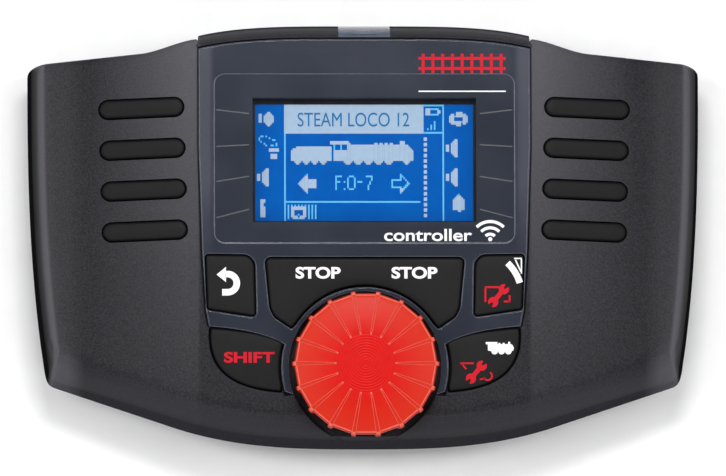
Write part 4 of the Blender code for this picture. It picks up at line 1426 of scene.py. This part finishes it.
def cover_plastic():
    """Smoked plastic, paler at its two sides, and nearly clear over the window of the display."""
    material, tree, shader, where = node_material("smoked_clear_gloss", 0.16)
    shader.inputs["Specular IOR Level"].default_value = 0.25
    haze = noise(tree, where, 60.0, 3.0)
    smoke = colour_between(tree, haze, (0.019, 0.024, 0.038), (0.025, 0.031, 0.048))
    place = split_vector(tree, where.outputs["Object"])
    off_middle = maths(tree, "ABSOLUTE", place["X"])
    border = overlap(tree, zone(tree, off_middle, 0.0353, 0.0368), zone(tree, place["Y"], -0.008, 0.012))
    tree.links.new(mixed(tree, border, smoke, (0.062, 0.066, 0.088)), shader.inputs["Base Color"])
    tree.links.new(value_between(tree, haze, 0.12, 0.22), shader.inputs["Roughness"])
    half_height = (WINDOW_Y[1] - WINDOW_Y[0]) / 2 * MM
    middle = (WINDOW_Y[1] + WINDOW_Y[0]) / 2 * MM
    from_middle = maths(tree, "ABSOLUTE", maths(tree, "SUBTRACT", place["Y"], middle))
    window = overlap(tree, maths(tree, "LESS_THAN", off_middle, WINDOW_HALF_WIDTH * MM),
                     maths(tree, "LESS_THAN", from_middle, half_height))
    tree.links.new(value_between(tree, window, 0.80, 0.04), shader.inputs["Alpha"])
    return material


def knob_plastic():
    """Red plastic with a painted sheen that makes it a little paler towards the rim of the knob."""
    material, tree, shader, where = grained_tree("knob_red_gloss", (0.52, 0.002, 0.001), (0.58, 0.003, 0.001),
                                                 0.33, 0.0016, 0.000006, 0.09)
    place = split_vector(tree, where.outputs["Object"])
    along = maths(tree, "SUBTRACT", place["Y"], KNOB_Y * MM)
    square = maths(tree, "ADD", overlap(tree, place["X"], place["X"]), overlap(tree, along, along))
    # Painted sheen: paler from 6.5 mm out to 15.5 mm from the knob's axis
    rim = zone(tree, maths(tree, "POWER", square, 0.5), 0.0065, 0.0155)
    base = shader.inputs["Base Color"].links[0].from_socket
    tree.links.new(mixed(tree, rim, base, (0.54, 0.022, 0.008)), shader.inputs["Base Color"])
    return material


def print_ink(name, colour):
    low = tuple(value * 0.93 for value in colour)
    return grained(name, low, colour, 0.5, 0.0004, 0.000004, 0.1)


def glowing(material, colour, strength):
    """The material with a faint light of its own."""
    shader = material.node_tree.nodes["Principled BSDF"]
    shader.inputs["Emission Color"].default_value = (*colour, 1)
    shader.inputs["Emission Strength"].default_value = strength
    return material


def display_blue():
    return glowing(plain("display_blue_glass"), (0.0, 0.085, 0.37), 0.15)


LIT_GREY = (0.33, 0.45, 0.60)
LIT_CYAN = (0.10, 0.46, 0.78)


def display_light(name, colour):
    """Dots of the display that let the light through."""
    low = tuple(value * 0.92 for value in colour)
    return glowing(grained(f"display_{name}", low, colour, 0.4, 0.0012, 0.000001, 0.1), colour, 0.08)


def steel():
    """Bright metal with fine scratches."""
    material, tree, shader, where = node_material("brushed_steel", 0.3, 1.0)
    scratch = noise(tree, where, 900.0, 4.0, 0.7)
    colour = colour_between(tree, scratch, (0.50, 0.50, 0.49), (0.66, 0.66, 0.65))
    tree.links.new(colour, shader.inputs["Base Color"])
    tree.links.new(value_between(tree, scratch, 0.2, 0.42), shader.inputs["Roughness"])
    bump(tree, shader, scratch, 0.000008)
    return material


def inner_materials():
    """Finish of each slot that the pieces inside the case use."""
    finishes = {"black_component": "moulded_black", "circuit_board": "green_solder_mask",
                "amber_film": "amber_polyimide", "grey_silicone": "grey_silicone_matt",
                "light_guide": "milky_light_guide", "cell_jacket": "cell_jacket_foil"}
    return {"steel": steel(), **{slot: plain(finish) for slot, finish in finishes.items()}}


def dress_inner_nodes(materials):
    """Better finishes for the CAD nodes that stay, by the slot that each already uses."""
    for part in frame["record"]["subparts"]:
        node = frame["nodes"][part["node"]]
        if node.hide_render:
            continue
        node.data.materials.clear()
        node.data.materials.append(materials[part["material_slot"]])


# Floor, lights and camera

def build_floor():
    """A wide pale sheet half a millimetre under the controller."""
    half = 3.0
    mesh = bpy.data.meshes.new("floor")
    mesh.from_pydata(at_height(rectangle(-half, half, -half, half), -0.0005), [], [(0, 1, 2, 3)])
    mesh.materials.append(plain("pale_floor"))
    floor = placed("floor", mesh)


def add_light(name, place, size, power):
    """A rectangular softbox that faces the controller."""
    light = bpy.data.lights.new(name, "AREA")
    light.shape = "RECTANGLE"
    light.size, light.size_y = size
    light.energy = power
    thing = placed(name, light)
    thing.location = place
    thing.rotation_euler = (Vector((0, 0, 0.02)) - Vector(place)).to_track_quat("-Z", "Y").to_euler()


def build_lights():
    """Four softboxes round the controller, and a faint even light from everywhere."""
    add_light("back_softbox", (0, 0.25, 0.68), (0.2, 0.12), 2.1)
    add_light("left_softbox", (-0.75, 0.1, 1.2), (0.3, 1.2), 6.8)
    add_light("right_softbox", (0.75, 0.1, 1.2), (0.3, 1.2), 6.0)
    add_light("front_softbox", (0, -0.75, 1.2), (1.4, 0.3), 5.2)
    world = bpy.data.worlds.new("studio")
    world.use_nodes = True
    background = world.node_tree.nodes["Background"]
    background.inputs["Color"].default_value = (1.0, 1.0, 1.0, 1)
    background.inputs["Strength"].default_value = 0.3
    bpy.context.scene.world = world


def build_camera():
    """Long lens, almost straight above, a little to the user's side and a touch to the left."""
    elevation = math.radians(84.0)
    lean = math.radians(1.3)
    distance = 3.0
    view_width = 0.17206
    aim = Vector((0, 0.22 * MM, PARTING_Z * MM))
    lens = bpy.data.cameras.new("camera")
    lens.sensor_width = 36.0
    lens.lens = lens.sensor_width * distance / view_width
    lens.clip_end = 20
    camera = placed("camera", lens)
    away = Vector((-math.sin(lean), -math.cos(elevation), math.sin(elevation))).normalized()
    across = (Vector((1, 0, 0)) - away * away.x).normalized()
    camera.location = aim + away * distance
    camera.rotation_euler = Matrix((across, away.cross(across), away)).transposed().to_euler()
    bpy.context.scene.camera = camera
    bpy.context.scene.view_settings.view_transform = "Standard"


CHARCOAL = charcoal_plastic()
BLACK_KEYS = plain("black_key_satin")
WHITE_INK = print_ink("white_ink", (0.86, 0.86, 0.86))
DISPLAY_INK = print_ink("display_ink", (0.003, 0.15, 0.38))
RED_INK = print_ink("red_ink", (0.55, 0.006, 0.020))
INNER = inner_materials()

build_front_shell(CHARCOAL)
build_clear_cover(cover_plastic(), plain("smoked_clear_painted_highlight"))
build_status_lens(plain("status_lens_gloss"))
build_back_shell(CHARCOAL)
build_battery_door(CHARCOAL)
build_case_screws(INNER["steel"])
build_middle_keys(BLACK_KEYS)
build_function_keys(BLACK_KEYS)
build_knob(knob_plastic(), plain("knob_red_painted_highlight"))
build_display_glass(plain("display_black_border"), display_blue())
build_display_dots(display_light("lit_areas", LIT_GREY), display_light("lit_lines", LIT_CYAN))
build_display_title(DISPLAY_INK)
build_display_panel(plain("panel_satin"))
build_panel_ridges(plain("panel_ridge_grey"))
build_cover_prints(WHITE_INK, RED_INK)
build_word_prints(WHITE_INK, RED_INK)
build_pictograms(WHITE_INK)
build_spanner_prints(RED_INK)
build_loco_print(WHITE_INK)
dress_inner_nodes(INNER)
build_floor()
build_lights()
build_camera()
